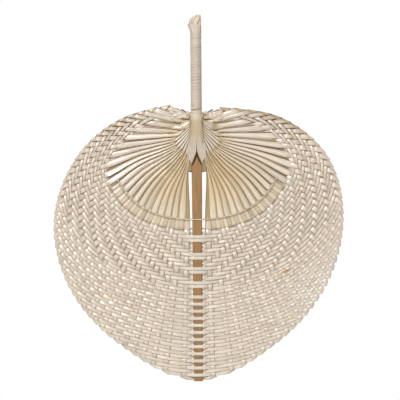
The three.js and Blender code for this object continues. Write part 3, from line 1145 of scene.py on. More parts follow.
@dataclass(frozen=True)
class RayPlaces:
    """Where the rings of one ray lie, and how much each belongs to the ray's stretches.

    Attributes:
        side: The blade's half.
        on_top: Whether the ray lies on its neighbours.
        reach: Distance from the neck.
        angle: Angle from straight down.
        index: Rows before the ring.
        woven: 1 inside the weave and 0 in the open.
        hiding: 1 where every second ray lies over its neighbours.
        between: 1 between the row strand and the first row.
        near_neck: 1 close to the neck beside the spine.
        shaded: Darkness of the shadow just below a strand.
    """

    side: Side
    on_top: bool
    reach: Array
    angle: Array
    index: Array
    woven: Array
    hiding: Array
    between: Array
    near_neck: Array
    shaded: Array


@dataclass(frozen=True)
class RayTints:
    """How a ray's colour changes between the neck and its fold."""

    neck_dark: float = 0.14
    between_dark: float = 0.1
    # Painted highlight on the rays underneath where they come out between the row strand and the first row.
    between_light: float = 0.2
    # Painted light on the rays that lie on top of their neighbours, more on the right.
    top_light: Pair = Pair(0.05, 0.14)
    # Painted shade on the rays that lie under their neighbours, then lessened low down near the spine.
    hidden_dark: Profile = Profile((35, 60), (0.32, 0.52))
    hidden_light: Profile = Profile((55, 85), (0.0, 0.16))
    lower_end: Ramp = Ramp(25, 50)
    open_gold: Profile = Profile((38, 95), (0.72, 0.0))
    open_end: Ramp = Ramp(30, 95)
    seam_gold: Profile = Profile((20, 42), (0.7, 0.0))
    neck_gold: float = 0.3
    woven_gold: Profile = Profile((110, 190), (0.1, 0.0))
    between_gold: float = 0.3
    shaded_gold: float = 0.6
    # Browner colour of the painted shade on the rays underneath.
    hidden_gold: float = 0.9
    plain_rim: float = 0.45
    deep_rim: Profile = Profile((35, 55, 65, 85), (0.6, 0.85, 0.85, 0.95))
    rim_loss: Profile = Profile((55, 95), (0.0, 0.6))

    def light(self, places: RayPlaces, light: Array) -> Array:
        """Adds the open stretch's darker places, painted shade and painted light to the lightness of a ray.

        Args:
            places: Where its rings lie.
            light: The lightness so far.

        Returns:
            The lightness of each ring.
        """
        light = light - places.shaded - self.neck_dark * places.near_neck - self.between_dark * places.between
        # Rays on top get painted light, and the ones under them get painted shade.
        if places.on_top:
            return light + self.top_light.at(places.side) * places.hiding
        # Rays underneath: painted shade, lessened low down near the spine.
        lower_shade_cut = self.hidden_light(places.reach) * self.lower_end.fall(places.angle)
        painted_shade = self.hidden_dark(places.angle) - lower_shade_cut
        # Painted highlight between the strands on the rays underneath, and their painted shade.
        return light + self.between_light * places.between - painted_shade * places.hiding

    def gold(self, places: RayPlaces) -> Array:
        """Share of the golden colour along a ray.

        Args:
            places: Where its rings lie.

        Returns:
            The share of each ring.
        """
        in_the_open = self.open_gold(places.reach) * self.open_end.fall(places.angle)
        at_neck = self.seam_gold(places.reach) + self.neck_gold * places.near_neck
        gold = np.maximum(in_the_open, at_neck) + self.woven_gold(places.reach) * places.woven
        gold = gold + self.between_gold * places.between + self.shaded_gold * places.shaded
        return gold if places.on_top else gold + self.hidden_gold * places.hiding

    def rim(self, places: RayPlaces, strength: float, woven_rim: Array) -> Array:
        """Strength of the brown along a ray's edges.

        Args:
            places: Where its rings lie.
            strength: The ray's own strength in the open.
            woven_rim: The strength inside the weave.

        Returns:
            The strength at each ring.
        """
        loss = self.rim_loss(places.reach) * self.lower_end.fall(places.angle)
        deep = strength * self.deep_rim(places.angle) * (1 - loss)
        rim = self.plain_rim + (deep - self.plain_rim) * places.hiding
        return rim * (1 - places.woven) + woven_rim * places.woven


@dataclass(frozen=True)
class WeaveTints:
    """How the weave's colour changes over the blade and at its folds."""

    strip_spread: float = 0.035
    crossing_spread: float = 0.045
    most_gold: float = 0.14
    # Strength of the painted sheen, lightest along the brightest slant.
    fibre_light: float = 0.05
    brightest_slant: float = -25.0
    tip_light: Pair = Pair(0.04, 0.08)
    tip_reach: Ramp = Ramp(110, 190)
    lobe_dark: Pair = Pair(0.0, 0.1)
    lobe_angle: Ramp = Ramp(82, 105)
    rim: Profile = Profile((82, 108), (0.5, 1.9))
    fold_dark: float = 0.03
    fold_gold: float = 0.15
    browned_angle: Ramp = Ramp(78, 105)
    browned_share: Pair = Pair(0.6, 1.0)
    browned_dark: float = 0.14
    browned_gold: float = 0.75

    def slanted(self, points: Array) -> Array:
        """Painted sheen: strips whose fibres run along one slant are painted lighter, as if they caught the
        light best.
        """
        run, rise = np.gradient(points, axis=0).T
        return self.fibre_light * np.cos(2 * (np.arctan2(rise, run) - math.radians(self.brightest_slant)))

    def bleached(self, side: Side, reach: Array, angle: Array) -> Array:
        """The weave is paler towards the tip, most on the right, and darker in the right upper lobe."""
        paler = self.tip_light.at(side) * self.tip_reach(reach)
        return paler - self.lobe_dark.at(side) * self.lobe_angle(angle)

    def browned(self, side: Side, fold: float) -> float:
        """How brown a fold at an angle is, most along the top edge."""
        return float(self.browned_angle(fold)) * self.browned_share.at(side)


@dataclass
class WovenStrips:
    """The strips of the blade, each a ray, a row and a ray.

    A strip's depth bows over and under what it crosses. Rows behind the slat are bent round it, so that they
    are pinched on both sides of it, where a painted highlight makes them lighter.
    """

    shop: Workshop
    spine: Spine
    tints: WeaveTints = WeaveTints()
    ray_tints: RayTints = RayTints()
    step: float = 0.8
    half_thickness: float = 0.3
    roundness: float = 0.4
    travel_apart: float = 1000.0
    lift: float = 0.85
    plain_lift: float = 0.66
    top_lift: float = 0.35
    fold_lift: float = 0.45
    fold_bulge: float = 0.8
    fold_run: int = 6
    edge_pull: Profile = Profile((20, 45, 75, 100), (2.4, 1.2, 1.2, 0.5))
    twist: float = 5.0
    woven_width: float = 4.9
    top_width: float = 6.4
    top_width_angle: Pair = Pair(Ramp(92, 112), Ramp(72, 112))
    widest_ray: float = 7.4
    ray_gap: float = 0.2
    ray_overlap: float = 1.1
    top_overlap: float = 0.7
    under_gather: int = 4
    far_index: float = -200.0
    flat_index: float = -1.2
    woven_index: Ramp = Ramp(-1.0, 3.0)
    past_strand: Ramp = Ramp(0.876, 0.893)
    past_row: Ramp = Ramp(-1.6, -0.7)
    strand_end: Ramp = Ramp(58, 66)
    between_index: Ramp = Ramp(-1.2, -0.4)
    between_end: Ramp = Ramp(60, 70)
    neck_reach: Ramp = Ramp(26, 52)
    neck_angle: Ramp = Ramp(35, 60)
    shadow_places: tuple[float, ...] = (-9.2, 0.1)
    shadow_half: float = 0.7
    shadow_dark: Profile = Profile((60, 66), (0.5, 0.0))
    wear: float = 0.05
    deep_rims: Double = (1.2, 2.1)
    ridge: Profile = Profile((28, 88), (0.75, 0.35))
    ridge_share: Profile = Profile((45, 70), (1.0, 0.55))
    shingle: float = 4.0
    shingle_spread: float = 7.0
    row_samples: int = 1200
    row_extra: float = 0.5
    row_gap: float = 0.05
    shortest_row: float = 0.5
    loose_gap: float = 1.1
    loose_angles: tuple[Ramp, Ramp] = (Ramp(26, 36), Ramp(50, 62))
    loose_rows: Ramp = Ramp(18, 25)
    turned_from: Ramp = Ramp(3, 6)
    spine_clearance: float = 0.35
    spine_side: float = 0.5
    least_turn: float = 0.2
    bend_x: float = 5.5
    bend_reach: float = 0.9
    # Painted highlight on rows where they bend round the slat's sides.
    bend_light: float = 0.4
    bend_pinch: float = 0.38

    def build(self) -> None:
        """Builds one piece for each strip."""
        for row in range(self.shop.rule.strip_count):
            tone = float(self.shop.random.normal(0, self.tints.strip_spread))
            rays = {side: self._ray(side, row, tone) for side in Side}
            rows = {side: self._row(side, row, tone) for side in Side}
            folds = {side: self._folded(side, row, rays[side], rows[side], tone) for side in Side}
            left, right = Side
            parts = [
                rays[left], folds[left], rows[left].turned_round(),
                rows[right], folds[right].turned_round(), rays[right].turned_round(),
            ]
            whole = Ribbon.joined(parts, self.travel_apart * row)
            self.shop.piece(Slot.STRIP, f"strip_{row + 1:02d}", [whole], roundness=self.roundness)

    def _lift(self, row: int) -> float:
        """How far a strip leaves the blade's middle at a row, less where the weave is plain."""
        return self.lift if row < self.shop.rule.first_plain_row else self.plain_lift

    def _fold_side(self, row: int) -> int:
        """1 where the row lies in front of its own ray at the fold, and -1 where it lies behind."""
        return self.shop.rule.row_over(row, row)

    def _fold(self, side: Side, row: int) -> Fold:
        """Lays out a fold, whose crease lies between the line that halves it and the blade's edge.

        Args:
            side: The blade's half.
            row: The strip.

        Returns:
            The fold.
        """
        rule = self.shop.rule
        course = self.shop.course.line(side, row)
        point = course[-1]
        angle = rule.fold_angle(row)
        before, after = angle - rule.small_turn, angle + rule.small_turn
        to_neck = unit(course[-self.fold_run] - point)
        to_spine = unit(rule.polar(side, rule.row_reach(side, row, before), before) - point)
        above, below = (rule.polar(side, rule.edge_reach(side, turn), turn) for turn in (after, before))
        edge = unit(above - below)
        halving = unit(to_neck - to_spine)
        crease = halving + float(self.edge_pull(angle)) * edge * math.copysign(1.0, float(halving @ edge))
        return Fold(point, to_neck, to_spine, unit(crease))

    def _widest(self, side: Side, angle: Values) -> Values:
        """Width of a strip inside the weave, wider in the upper lobes, and most of all on the right."""
        return self.woven_width + (self.top_width - self.woven_width) * self.top_width_angle.at(side)(angle)

    def _varied(self, ribbon: Ribbon, position: Array, stops: Sequence[float], share: Any) -> None:
        """Turns a strip a little about its length and changes its colour, another way at each crossing.

        Args:
            ribbon: The strip, which is changed.
            position: Where its rings lie among the stops.
            stops: The crossings.
            share: How much of the change each ring takes.
        """
        random, count = self.shop.random, len(stops)
        roll = np.radians(eased(position, stops, random.normal(0.0, self.twist, count))) * share
        ribbon.lean(np.sin(roll) * np.linalg.norm(ribbon.across, axis=1))
        ribbon.tone += share * eased(position, stops, random.normal(0.0, self.tints.crossing_spread, count))
        ribbon.gold += share * eased(position, stops, random.uniform(0.0, self.tints.most_gold, count))

    def _ray(self, side: Side, row: int, tone: float) -> Ribbon:
        """A ray from under the gather's seam to its fold.

        Args:
            side: The blade's half.
            row: The strip.
            tone: The strip's lightness.

        Returns:
            The ray.
        """
        points, width, places = self._ray_layout(side, row)
        reach, angle, random = places.reach, places.angle, self.shop.random
        in_the_open = 1 - places.woven
        stops, depths = self._ray_stops(row)
        top_lift = self.top_lift if places.on_top else -self.top_lift
        depth = arched(places.index, stops, depths) + top_lift * places.hiding * in_the_open
        wear, deep_rim = random.normal(0.0, self.wear), random.uniform(*self.deep_rims)
        ridge = self.ridge(reach) * self.ridge_share(angle) * in_the_open
        # Painted sheen by the fibres' slant inside the weave.
        light = tone + self.tints.slanted(points) * places.woven + wear * in_the_open
        light = light + self.tints.bleached(side, reach, angle)
        ray = Ribbon.along(
            in_space(points, depth), FRONT, width / 2, self.half_thickness, ridge=ridge * width / 2,
            tone=self.ray_tints.light(places, light), gold=self.ray_tints.gold(places),
            rim=self.ray_tints.rim(places, deep_rim, self.tints.rim(angle)),
        )
        roll = np.radians(random.normal(self.shingle, self.shingle_spread)) * places.hiding * in_the_open
        ray.lean(-side.value * np.sin(roll) * width / 2)
        self._varied(ray, places.index, stops, places.woven)
        return ray

    def _ray_layout(self, side: Side, row: int) -> tuple[Array, Array, RayPlaces]:
        """Lays out a ray between the gather and its fold's crease.

        Args:
            side: The blade's half.
            row: The strip.

        Returns:
            The ray's points, its width there and the places of its rings.
        """
        rule, course = self.shop.rule, self.shop.course
        points, room = course.line(side, row), course.room(side, row, 1)
        widest = self._widest(side, rule.fold_angle(row))
        fold = self._fold(side, row)
        end_half = min(widest, float(room[-1]) - self.ray_gap) / 2
        kept = np.linalg.norm(points - points[-1], axis=1) > fold.back_along(fold.to_neck, end_half)
        kept[: max(course.seam_index(side, row) - self.under_gather, 0)] = False
        points, room = points[kept], room[kept]
        places = self._places(side, row, points)
        overlap = self.ray_overlap + (self.top_overlap * places.hiding if places.on_top else 0.0)
        open_width = np.minimum(room * overlap, self.widest_ray)
        width = open_width + (np.minimum(widest, room - self.ray_gap) - open_width) * places.woven
        return points, width, places

    def _places(self, side: Side, row: int, points: Array) -> RayPlaces:
        """Finds how much each point of a ray belongs to the ray's stretches.

        Args:
            side: The blade's half.
            row: The strip.
            points: The ray's points.

        Returns:
            The places of the ray's rings.
        """
        rule, course = self.shop.rule, self.shop.course
        reach, angle = rule.reach_and_angle(side, points)
        index = rule.row_index(side, points)
        past_strand = self.past_strand(course.openness(side, points))
        hiding = 1 - (past_strand + (self.past_row(index) - past_strand) * self.strand_end(angle))
        beyond = reach - rule.inner_reach(side, rule.bounded(angle))
        shadow = sum(humped(beyond, place, self.shadow_half) for place in self.shadow_places)
        return RayPlaces(
            side, course.is_on_top(row), reach, angle, index, woven=self.woven_index(index),
            hiding=hiding,
            between=(1 - hiding) * self.between_index.fall(index) * self.between_end.fall(angle),
            near_neck=self.neck_reach.fall(reach) * self.neck_angle.fall(angle),
            shaded=self.shadow_dark(angle) * shadow,
        )

    def _ray_stops(self, row: int) -> Stops:
        """Where a ray goes over and under the rows that it crosses.

        Args:
            row: The strip.

        Returns:
            The stops as row indices, and the depth at each.
        """
        rule = self.shop.rule
        crossings = [-self._lift(other) * rule.row_over(other, row) for other in range(row)]
        stops = [self.far_index, self.flat_index, *range(row), row]
        return stops, [0.0, 0.0, *crossings, -self.fold_lift * self._fold_side(row)]

    def _row_half(self, side: Side, row: int, angle: Array) -> Array:
        """Half of a row's width, with the gap that shows light between rows on the right.

        Args:
            side: The blade's half.
            row: The row.
            angle: Where it is wanted.

        Returns:
            The half width at each angle.
        """
        rule = self.shop.rule
        reach = rule.row_reach(side, row, angle)
        slope = (reach - rule.row_reach(side, row, angle - rule.small_turn)) / math.radians(rule.small_turn)
        square = np.cos(np.arctan2(slope, reach))
        loose = 0.0
        if side is Side.RIGHT:
            first, last = self.loose_angles
            loose = first(angle) * last.fall(angle) * self.loose_rows(row)
        gap = self.row_gap + (self.loose_gap - self.row_gap) * loose
        room = rule.row_pitch(side, angle) * square - gap
        return np.minimum(self._widest(side, angle) + self.row_extra, room) / 2

    def _row(self, side: Side, row: int, tone: float) -> Ribbon:
        """Half of a row from the spine to its fold.

        Args:
            side: The blade's half.
            row: The strip.
            tone: The strip's lightness.

        Returns:
            The half row.
        """
        rule = self.shop.rule
        last_angle = rule.fold_angle(row)
        fine = np.linspace(0, last_angle, self.row_samples)
        length = run_length(rule.polar(side, rule.row_reach(side, row, fine), fine))
        fold = self._fold(side, row)
        end_half = float(self._row_half(side, row, np.array([last_angle]))[0])
        first = 0.0 if side is Side.RIGHT else self.step
        stop = max(length[-1] - fold.back_along(fold.to_spine, end_half), first + self.shortest_row)
        angle = np.interp(np.arange(first, stop, self.step), length, fine)
        reach = rule.row_reach(side, row, angle)
        points = rule.polar(side, reach, angle)
        stops, depths = self._row_stops(side, row, last_angle)
        # Painted sheen by the fibres' slant.
        light = tone + self.tints.slanted(points) + self.tints.bleached(side, reach, angle)
        half = self._row_half(side, row, angle)
        if not rule.is_in_front(row) and row < rule.strip_count - 1:
            bend = humped(np.abs(points[:, 0]), self.bend_x, self.bend_reach)
            # Painted highlight where the row bends round the slat's side.
            light = light + self.bend_light * bend
            half = half * (1 - self.bend_pinch * bend)
        half_row = Ribbon.along(
            in_space(points, arched(angle, stops, depths)), -FRONT, half, self.half_thickness,
            tone=light, rim=self.tints.rim(angle),
        )
        self._varied(half_row, angle, stops, self.turned_from(angle))
        return half_row

    def _row_stops(self, side: Side, row: int, fold: float) -> Stops:
        """Where a row goes over and under the spine and the rays.

        Args:
            side: The blade's half.
            row: The row.
            fold: The angle of its fold.

        Returns:
            The stops as angles, and the depth at each.
        """
        rule = self.shop.rule
        reach = float(rule.row_reach(side, row, 0.0))
        half = float(self.spine.half_at(rule.neck_z - reach)) + self.spine_side
        spine_depth = self.spine.thickness / 2 + self.spine_clearance
        at_spine = spine_depth if rule.is_in_front(row) else -spine_depth
        stops = [0.0, math.degrees(math.asin(half / reach))]
        depths = [at_spine, at_spine]
        for ray in range(rule.strip_count - 1, row, -1):
            angle = self.shop.course.crossing_angle(side, row, ray)
            if stops[-1] + self.least_turn < angle < fold - self.least_turn:
                stops.append(angle)
                depths.append(self._lift(row) * rule.row_over(row, ray))
        stops.append(max(fold, stops[-1] + self.least_turn))
        depths.append(self.fold_lift * self._fold_side(row))
        return stops, depths

    def _folded(self, side: Side, row: int, ray: Ribbon, half_row: Ribbon, tone: float) -> Ribbon:
        """The three rings of a fold, sheared onto its crease, from the ray to the row.

        Args:
            side: The blade's half.
            row: The strip.
            ray: The ray that ends here.
            half_row: The row that starts here.
            tone: The strip's lightness.

        Returns:
            The fold's rings.
        """
        fold, facing = self._fold(side, row), self._fold_side(row)
        crease, outside = in_space(np.stack([fold.crease, -fold.to_neck]), 0.0)
        bend = unit(outside - (outside @ crease) * crease)
        ray_half = fold.sheared(fold.to_neck, float(np.linalg.norm(ray.across[-1])))
        row_half = fold.sheared(fold.to_spine, float(np.linalg.norm(half_row.across[-1])))
        halves = np.array([ray_half, (ray_half + row_half) / 2, row_half])
        depths = np.array([-self.fold_lift, 0.0, self.fold_lift]) * facing
        centre = in_space(np.repeat(fold.point[None], 3, axis=0), depths)
        centre[1] += bend * self.fold_lift * self.fold_bulge
        tints, angle = self.tints, self.shop.rule.fold_angle(row)
        browned = tints.browned(side, angle)
        return Ribbon(
            centre=centre,
            across=math.copysign(1.0, float(ray.across[-1] @ crease)) * crease * halves[:, None],
            through=np.stack([FRONT, -bend * facing, -FRONT]) * self.half_thickness,
            ridge=np.zeros((3, 3)), travel=np.zeros(3),
            tone=np.full(3, tone - tints.fold_dark - tints.browned_dark * browned),
            gold=np.full(3, tints.fold_gold + tints.browned_gold * browned),
            rim=np.full(3, float(tints.rim(angle))),
        )


@dataclass(frozen=True)
class Strand:
    """A thin strand across the rays, which runs a span of degrees to each side.

    It passes the spine on its face, and lies at its own reach or at an inset from the weave's inner edge.
    """

    name: str
    face: Face
    span: float = 64.0
    lift: float = 1.15
    inset: float = 0.0
    reach: float | None = None
    tone: float = 0.0

    def reach_at(self, rule: WeaveRule, side: Side, angle: Array) -> Array:
        """Its reach from the neck at each angle."""
        edge = rule.inner_reach(side, angle)
        return edge - self.inset if self.reach is None else np.full_like(edge, self.reach)


@dataclass
class Strands:
    """The three thin strands that hold the rays side by side."""

    shop: Workshop
    spine: Spine
    strands: tuple[Strand, ...] = (
        Strand("row_strand", Face.FRONT, inset=10.2),
        Strand("lock_strand", Face.BACK, inset=0.9),
        Strand("neck_strand", Face.BACK, span=62.0, lift=0.4, reach=32.0, tone=-0.5),
    )
    half: float = 0.75
    half_thickness: float = 0.375
    sides: int = 8
    step: float = 1.2
    gold: float = 0.2
    rim: float = 1.5
    spine_room: float = 6.0
    least_turn: float = 0.3
    tail: float = 5.0

    def build(self) -> None:
        """Runs each strand over and under the rays."""
        rule = self.shop.rule
        for strand in self.strands:
            halves = {}
            for side in Side:
                first_reach = float(strand.reach_at(rule, side, np.zeros(1))[0])
                angle = np.arange(0, strand.span, math.degrees(self.step / first_reach))
                points = rule.polar(side, strand.reach_at(rule, side, angle), angle)
                halves[side] = in_space(points, eased(angle, *self._stops(strand, side, first_reach)))
            path = np.concatenate([halves[Side.LEFT][:0:-1], halves[Side.RIGHT]])
            looks = {"tone": strand.tone, "gold": self.gold, "rim": self.rim}
            ribbon = Ribbon.along(path, FRONT, self.half, self.half_thickness, **looks)
            self.shop.piece(Slot.STRAND, strand.name, [ribbon], sides=self.sides)

    def _stops(self, strand: Strand, side: Side, first_reach: float) -> Stops:
        """Where a strand goes over and under every second ray.

        Args:
            strand: The strand.
            side: The blade's half.
            first_reach: Its reach at the spine.

        Returns:
            The stops as angles, and the depth at each.
        """
        rule, course = self.shop.rule, self.shop.course
        over_spine = strand.face.value * (self.spine.thickness / 2 + self.half)
        stops = [0.0, math.degrees(math.asin(self.spine_room / first_reach))]
        depths = [over_spine, over_spine]
        for ray in range(rule.strip_count - 1, -1, -1):
            points = course.line(side, ray)[course.seam_index(side, ray):]
            rays_reach, rays_angle = rule.reach_and_angle(side, points)
            beyond = rays_reach - strand.reach_at(rule, side, rule.bounded(rays_angle))
            if beyond[0] > 0 or beyond[-1] < 0:
                continue
            crossing = float(np.interp(0.0, np.maximum.accumulate(beyond), rays_angle))
            if stops[-1] + self.least_turn < crossing < strand.span:
                stops.append(crossing)
                depths.append(strand.lift * (-1 if course.is_on_top(ray) else 1) * strand.face.value)
        return stops + [strand.span + self.tail], depths + [0.0]


@dataclass
class NeckGather:
    """One side's rays where they are pressed together and turned up into the handle, with petals and leaves.

    The petal is listed by height, with the distances of its inner and outer edge from the middle. Leaves are
    listed by where they end, and ties by their heights at the collar, halfway and at the far end.
    """

    shop: Workshop
    side: Side
    petal: tuple[Triple, ...] = (
        (-50.0, -0.2, 5.0), (-62.0, -0.2, 5.2), (-70.0, -0.1, 6.2), (-80.0, 0.2, 8.6), (-87.0, 0.5, 9.4),
        (-93.0, 2.6, 9.2), (-98.5, 4.9, 8.0),
    )
    petal_strips: int = 5
    petal_rings: int = 36
    petal_slant: float = 8.0
    petal_curve: float = 1.5
    petal_overlap: float = 0.72
    petal_taper: float = 0.75
    petal_lift: float = 0.2
    petal_depth: float = 2.1
    petal_ridge: float = 0.3
    petal_rim: float = 0.7
    petal_tones: Double = (-0.02, 0.05)
    petal_dark_z: Profile = Profile((-80, -68), (0.05, 0.0))
    petal_dive_z: Ramp = Ramp(-68, -84)
    petal_gold_z: Profile = Profile((-98, -92, -76, -66), (0.4, 0.0, 0.0, 0.5))
    fillers: tuple[tuple[Triple, ...], ...] = (
        ((6.0, -88.0, 0.8), (6.2, -97.0, 1.0), (5.9, -105.0, 0.9)),
        ((7.2, -87.0, 0.8), (7.4, -96.0, 0.9), (7.4, -105.4, 0.9)),
        ((8.4, -86.0, 0.8), (8.4, -95.0, 0.9), (8.8, -105.8, 0.9)),
    )
    filler_depth: float = 0.6
    # Fillers are painted dark and brown as the shade in the wedge beside the slat, above the neck strand.
    filler_tone: float = -0.3
    filler_rim: float = 3.0
    leaves: Pair = Pair(
        ((11.0, -46.8), (17.0, -45.0), (24.0, -42.6), (20.0, -48.0)),
        ((11.0, -46.6), (17.0, -46.0), (26.0, -45.4), (20.0, -49.0)),
    )
    leaf_start: Double = (5.6, -48.2)
    leaf_pitch: float = 1.2
    leaf_sag: float = 0.8
    leaf_depth: Profile = Profile((0.0, 0.5), (2.0, 0.5))
    leaf_half: Profile = Profile((0.1, 0.65, 0.8, 1.0), (0.8, 2.5, 2.5, 1.2))
    leaf_tone_spread: float = 0.06
    # Painted shadow by the collar's side: each leaf is darker and browner where it starts.
    leaf_dark: Profile = Profile((0.0, 0.3), (0.4, 0.0))
    leaf_gold: Profile = Profile((0.1, 0.5), (1.0, 0.0))
    leaf_ridge: float = 0.25
    leaf_rim: float = 1.6
    leaf_lean: float = 0.2
    ties: Pair = Pair(
        ((-49.0, -48.6, -45.6), (-52.5, -47.5, -50.0), (-48.0, -52.5, -51.5)),
        ((-49.0, -48.6, -47.4), (-53.0, -48.0, -51.0), (-48.4, -53.5, -52.0)),
    )
    tie_places: Triple = (6.4, 16.0, 27.0)
    tie_waves: float = 4.6
    tie_depth: float = 0.8
    tie_wave: float = 0.35
    tie_half: Profile = Profile((0.0, 0.4, 0.85, 1.0), (1.0, 1.8, 1.8, 0.6))
    tie_tone_spread: float = 0.05
    tie_gold: Profile = Profile((0.0, 0.4), (0.3, 0.0))
    tie_rim: float = 1.0
    rings: int = 26
    roundness: float = 0.7
    half_thickness: float = SMALL_HALF_THICKNESS
    collar_half: float = 7.2
    collar_depth: float = 5.6
    collar_swell_z: Profile = Profile((-56, -49), (1.0, 0.84))
    collar_least: float = 0.04
    pressed_step: int = 4
    pressed_apart: int = 2
    pressed_run: float = 10.0
    pressed_opening: tuple[int, int] = (-2, 5)
    pressed_overlaps: Double = (1.3, 1.08)
    pressed_least: float = 1.6
    pressed_depth: float = 1.1
    pressed_dive: float = 1.2
    pressed_flat: Double = (0.1, 0.7)
    pressed_tone_spread: float = 0.06
    pressed_rims: Double = (1.1, 1.9)
    pressed_bend: float = 3.0
    # The first gold is brown painted shade by the collar's side, and the second is the brown in the bend at
    # the seam.
    pressed_golds: Double = (0.5, 0.7)
    pressed_gold_end: float = 0.3
    pressed_dark: float = 0.1
    pressed_ridge: float = 0.2
    shingle: float = 16.0

    def build(self) -> None:
        """Fans the pressed strips, petals and leaves out on both faces."""
        ribbons = []
        rows = range(0, self.shop.rule.strip_count, self.pressed_step)
        # Fillers carry painted shade: dark and brown beside the slat.
        looks = {"depth": self.filler_depth, "tone": self.filler_tone, "gold": 1.0, "rim": self.filler_rim}
        leaves, ties = self.leaves.at(self.side), self.ties.at(self.side)
        for face in Face:
            ribbons += [self._pressed_strip(row, face) for row in rows]
            ribbons += [self._petal_strip(index, face) for index in range(self.petal_strips)]
            ribbons += [small_strip(filler, self.side, face, **looks) for filler in self.fillers]
            ribbons += [self._leaf(index, end, face) for index, end in enumerate(leaves)]
            ribbons += [self._tie(index, heights, face) for index, heights in enumerate(ties)]
        node = f"neck_gather_{self.side.name.lower()}"
        self.shop.piece(Slot.GATHER, node, ribbons, roundness=self.roundness)

    def _laid(self, points: Array, depth: Array, half: Array, face: Face, **looks: Any) -> Ribbon:
        """Lays a strip along points of the blade's plane at a depth on one of its faces."""
        path = in_space(points, face.value * depth)
        return Ribbon.along(path, face.value * FRONT, half, self.half_thickness, **looks)

    def _bent(self, start: Array, elbow: Array, end: Array) -> tuple[Array, Array]:
        """Bends a path once and puts it on the gather's side.

        Args:
            start: Its start, as if on the right.
            elbow: The corner that it bends towards.
            end: Its end.

        Returns:
            The path's points and the share that is run at each.
        """
        share = np.linspace(0, 1, self.rings)
        points = ((1 - share) ** 2)[:, None] * start + (2 * share * (1 - share))[:, None] * elbow
        return (points + (share**2)[:, None] * end) * (self.side.value, 1.0), share

    def _collar_front(self, points: Array) -> Array:
        """Depth of the collar's round front."""
        round_share = np.clip(1 - (points[:, 0] / self.collar_half) ** 2, self.collar_least, 1)
        return self.collar_swell_z(points[:, 1]) * self.collar_depth * np.sqrt(round_share)

    def _pressed_strip(self, row: int, face: Face) -> Ribbon:
        """A ray's first stretch, from the collar to where it dives into the ray.

        Args:
            row: The ray's strip.
            face: The blade's face.

        Returns:
            The stretch.
        """
        course, random = self.shop.course, self.shop.random
        seam = course.seam_index(self.side, row)
        last = seam + int(self.pressed_run / course.step)
        place = np.arange(last)
        points = course.line(self.side, row)[:last]
        pressed = course.room(self.side, row, self.pressed_step)[:last]
        opened = course.room(self.side, row, self.pressed_apart)[:last]
        opening = Ramp(*(seam + shift for shift in self.pressed_opening))
        width = pressed + (opened - pressed) * opening(place)
        outermost, inner = self.pressed_overlaps
        width = np.maximum(width * (inner if row > self.pressed_step else outermost), self.pressed_least)
        around = self._collar_front(points)
        flat = self.pressed_depth - self.pressed_dive * Ramp(seam - 1, last - 1)(place)
        flattening = Ramp(*(share * seam for share in self.pressed_flat))
        depth = around + (flat - around) * flattening(place)
        tone, rim = random.normal(0.0, self.pressed_tone_spread), random.uniform(*self.pressed_rims)
        bend = humped(place, seam, self.pressed_bend)
        # Brown painted shade on the strip's start by the collar's side.
        collar_shade_gold, bend_gold = self.pressed_golds
        collar_shade = collar_shade_gold * Ramp(0.0, self.pressed_gold_end * seam).fall(place)
        strip = self._laid(
            points, depth, width / 2, face, ridge=self.pressed_ridge * width,
            tone=tone - self.pressed_dark * bend, gold=np.maximum(collar_shade, bend_gold * bend), rim=rim,
        )
        strip.lean(-self.side.value * math.sin(math.radians(self.shingle)) * width / 2)
        return strip

    def _petal_strip(self, index: int, face: Face) -> Ribbon:
        """One strip of the pale petal that leads from the collar's front to the spine's side.

        Args:
            index: Its place from the middle outwards.
            face: The blade's face.

        Returns:
            The strip.
        """
        rows = np.array(self.petal)
        share = (index + 0.5) / self.petal_strips
        low_z = rows[-1, 0] + self.petal_slant * share**self.petal_curve
        heights = np.linspace(rows[0, 0], low_z, self.petal_rings)
        inner, outer = (eased(-heights, -rows[:, 0], rows[:, column]) for column in (1, 2))
        points = np.stack([self.side.value * (inner + (outer - inner) * share), heights], axis=1)
        taper = np.linspace(1.0, self.petal_taper, self.petal_rings)
        half = (outer - inner) / self.petal_strips * self.petal_overlap * taper
        around = self._collar_front(points) + self.petal_lift
        depth = around + (self.petal_depth - around) * self.petal_dive_z(heights)
        tone = self.shop.random.normal(*self.petal_tones) - self.petal_dark_z(heights)
        return self._laid(
            points, depth, half, face,
            ridge=half * self.petal_ridge, tone=tone, gold=self.petal_gold_z(heights), rim=self.petal_rim,
        )

    def _leaf(self, index: int, end_place: Double, face: Face) -> Ribbon:
        """A flat leaf from the collar to the blade's top edge.

        Args:
            index: Its place from the handle outwards.
            end_place: Where it ends, as if on the right.
            face: The blade's face.

        Returns:
            The leaf.
        """
        start = np.array(self.leaf_start) - (0.0, self.leaf_pitch * index)
        end = np.array(end_place)
        points, share = self._bent(start, start + (end - start) * 0.5 - (0.0, self.leaf_sag), end)
        half = self.leaf_half(share)
        # The leaf's start is painted darker and browner as the shadow by the collar.
        tone = float(self.shop.random.normal(0.0, self.leaf_tone_spread)) - self.leaf_dark(share)
        leaf = self._laid(
            points, self.leaf_depth(share), half, face,
            ridge=half * self.leaf_ridge, tone=tone, gold=self.leaf_gold(share), rim=self.leaf_rim,
        )
        leaf.lean(self.leaf_lean * self.side.value * half)
        return leaf

